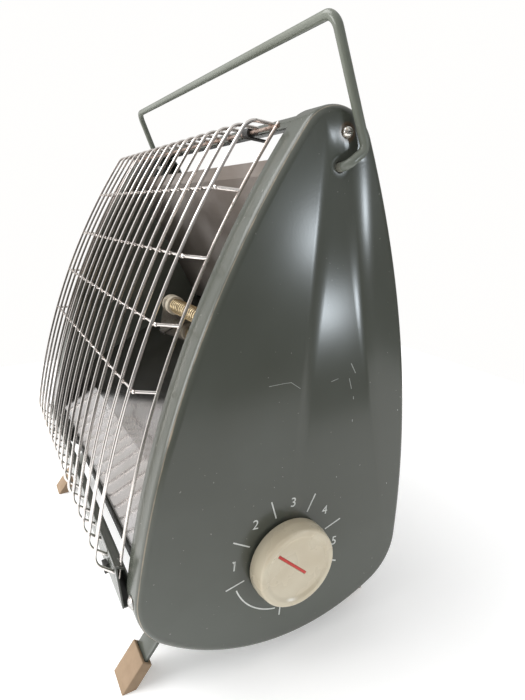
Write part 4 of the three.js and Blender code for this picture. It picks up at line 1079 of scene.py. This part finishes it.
def knob_profile():
    face = KNOB_PROUD - KNOB_HOLLOW
    under = face - KNOB_WALL
    hub = SHAFT / 2 + GAP
    dish = bend(flat((0, face), (KNOB_DISH, face), (KNOB_DISH + KNOB_LIP, KNOB_PROUD)), 3, 4)
    rim = bend(
        flat((KNOB_DISH, face), (KNOB_DISH + KNOB_LIP, KNOB_PROUD), (KNOB_RADIUS + KNOB_EASE, KNOB_PROUD),
             (KNOB_FOOT, KNOB_PROUD / 2)), RIM_ROUND, 6,
    )[1:-1]
    skirt = bend(
        flat((KNOB_RADIUS + KNOB_EASE, KNOB_PROUD), (KNOB_FOOT, KNOB_PROUD / 2), (KNOB_FOOT, KNOB_CLEAR),
             (KNOB_FOOT - KNOB_WALL, KNOB_CLEAR)), FOOT_ROUND, 3,
    )[1:]
    inside = flat(
        (KNOB_RADIUS - KNOB_WALL, under), (hub + HUB_WALL, under),
        (hub + HUB_WALL, KNOB_CLEAR + HUB_WALL), (hub, KNOB_CLEAR + HUB_WALL), (hub, under),
        (0, under),
    )
    return [(p.x, p.y) for p in dish[:-1] + rim + skirt + inside]


def pointer_bar(grow):
    bm = bmesh.new()
    bmesh.ops.create_cube(bm, size=1)
    size = (POINTER_THICK + grow, POINTER_LONG + 2 * grow, POINTER_WIDE + 2 * grow)
    bmesh.ops.scale(bm, vec=size, verts=bm.verts[:])
    bmesh.ops.bevel(
        bm, geom=bm.edges[:], offset=POINTER_SOFT, affect="EDGES", segments=2, profile=0.5, material=-1
    )
    face = KNOB_PROUD - KNOB_HOLLOW
    bmesh.ops.translate(bm, vec=(RIGHT + face - POINTER_SUNK, POINTER_SHIFT, 0), verts=bm.verts[:])
    bmesh.ops.rotate(
        bm, cent=(0, 0, 0), matrix=Matrix.Rotation(POINTER_ANGLE, 3, "X"), verts=bm.verts[:]
    )
    return bm


cream = moulded("cream_moulding", (0.66, 0.59, 0.45), (0.61, 0.53, 0.39), 0.22, 60, 0.000004)
red = moulded("red_bar", (0.62, 0.035, 0.02), (0.52, 0.03, 0.02), 0.35, 400, 0.00001)
cap = carve(lathe(knob_profile(), 96, (RIGHT, 0, 0)), pointer_bar(POINTER_SLOT))
piece("control_knob", cap, cream, "knob", ["knob"])
piece("red_pointer", pointer_bar(0), red, "knob", ["knob_pointer"])
dress(zinc, "zinc_steel", "control_shaft", "regulator_nut")


# ---- feet ----
# A flat strap is riveted under each end of the body. Its two ends splay to the floor in tan
# rubber boots.
tan_rubber = moulded("tan_rubber", (0.30, 0.205, 0.125), (0.27, 0.185, 0.112), 0.62, 140, 0.0001)
for side in ("right", "left"):
    strap = "foot_strap_" + side
    bent = softened(strap, 0.35)
    piece("strap_" + side, bent, plain_enamel, stands_for=[strap], placed=True)
    for end in ("front", "rear"):
        foot = f"foot_{end}_{side}"
        boot = softened(foot, 0.8, 3)
        piece(f"boot_{end}_{side}", boot, tan_rubber, stands_for=[foot], placed=True)


# ---- clips, regulator, terminal block, gland and leads ----
# Black clips hold the guard's top rod and the rail. Inside, a regulator hangs behind the
# control, a terminal block stands on the pan, and sleeved leads join them to the element.
black = moulded("black_moulding", (0.018, 0.018, 0.017), (0.03, 0.028, 0.026), 0.42, 200, 0.00005)
block = moulded("block_moulding", (0.60, 0.54, 0.42), (0.50, 0.44, 0.33), 0.5, 90, 0.00003)
sleeve = moulded("woven_sleeve", (0.60, 0.57, 0.48), (0.42, 0.39, 0.32), 0.8, 900, 0.0002)
for side in ("right", "left"):
    for clip in ("guard_clip", "rail_clip"):
        node = f"{clip}_{side}"
        eased = softened(node, 0.25)
        piece("eased_" + node, eased, black, stands_for=[node], placed=True)
dress(black, "black_plastic", "heat_regulator", "supply_gland")
dress(block, "cream_plastic", "terminal_block")
dress(sleeve, "lead_sleeve", "lead_live", "lead_switched", "lead_return")
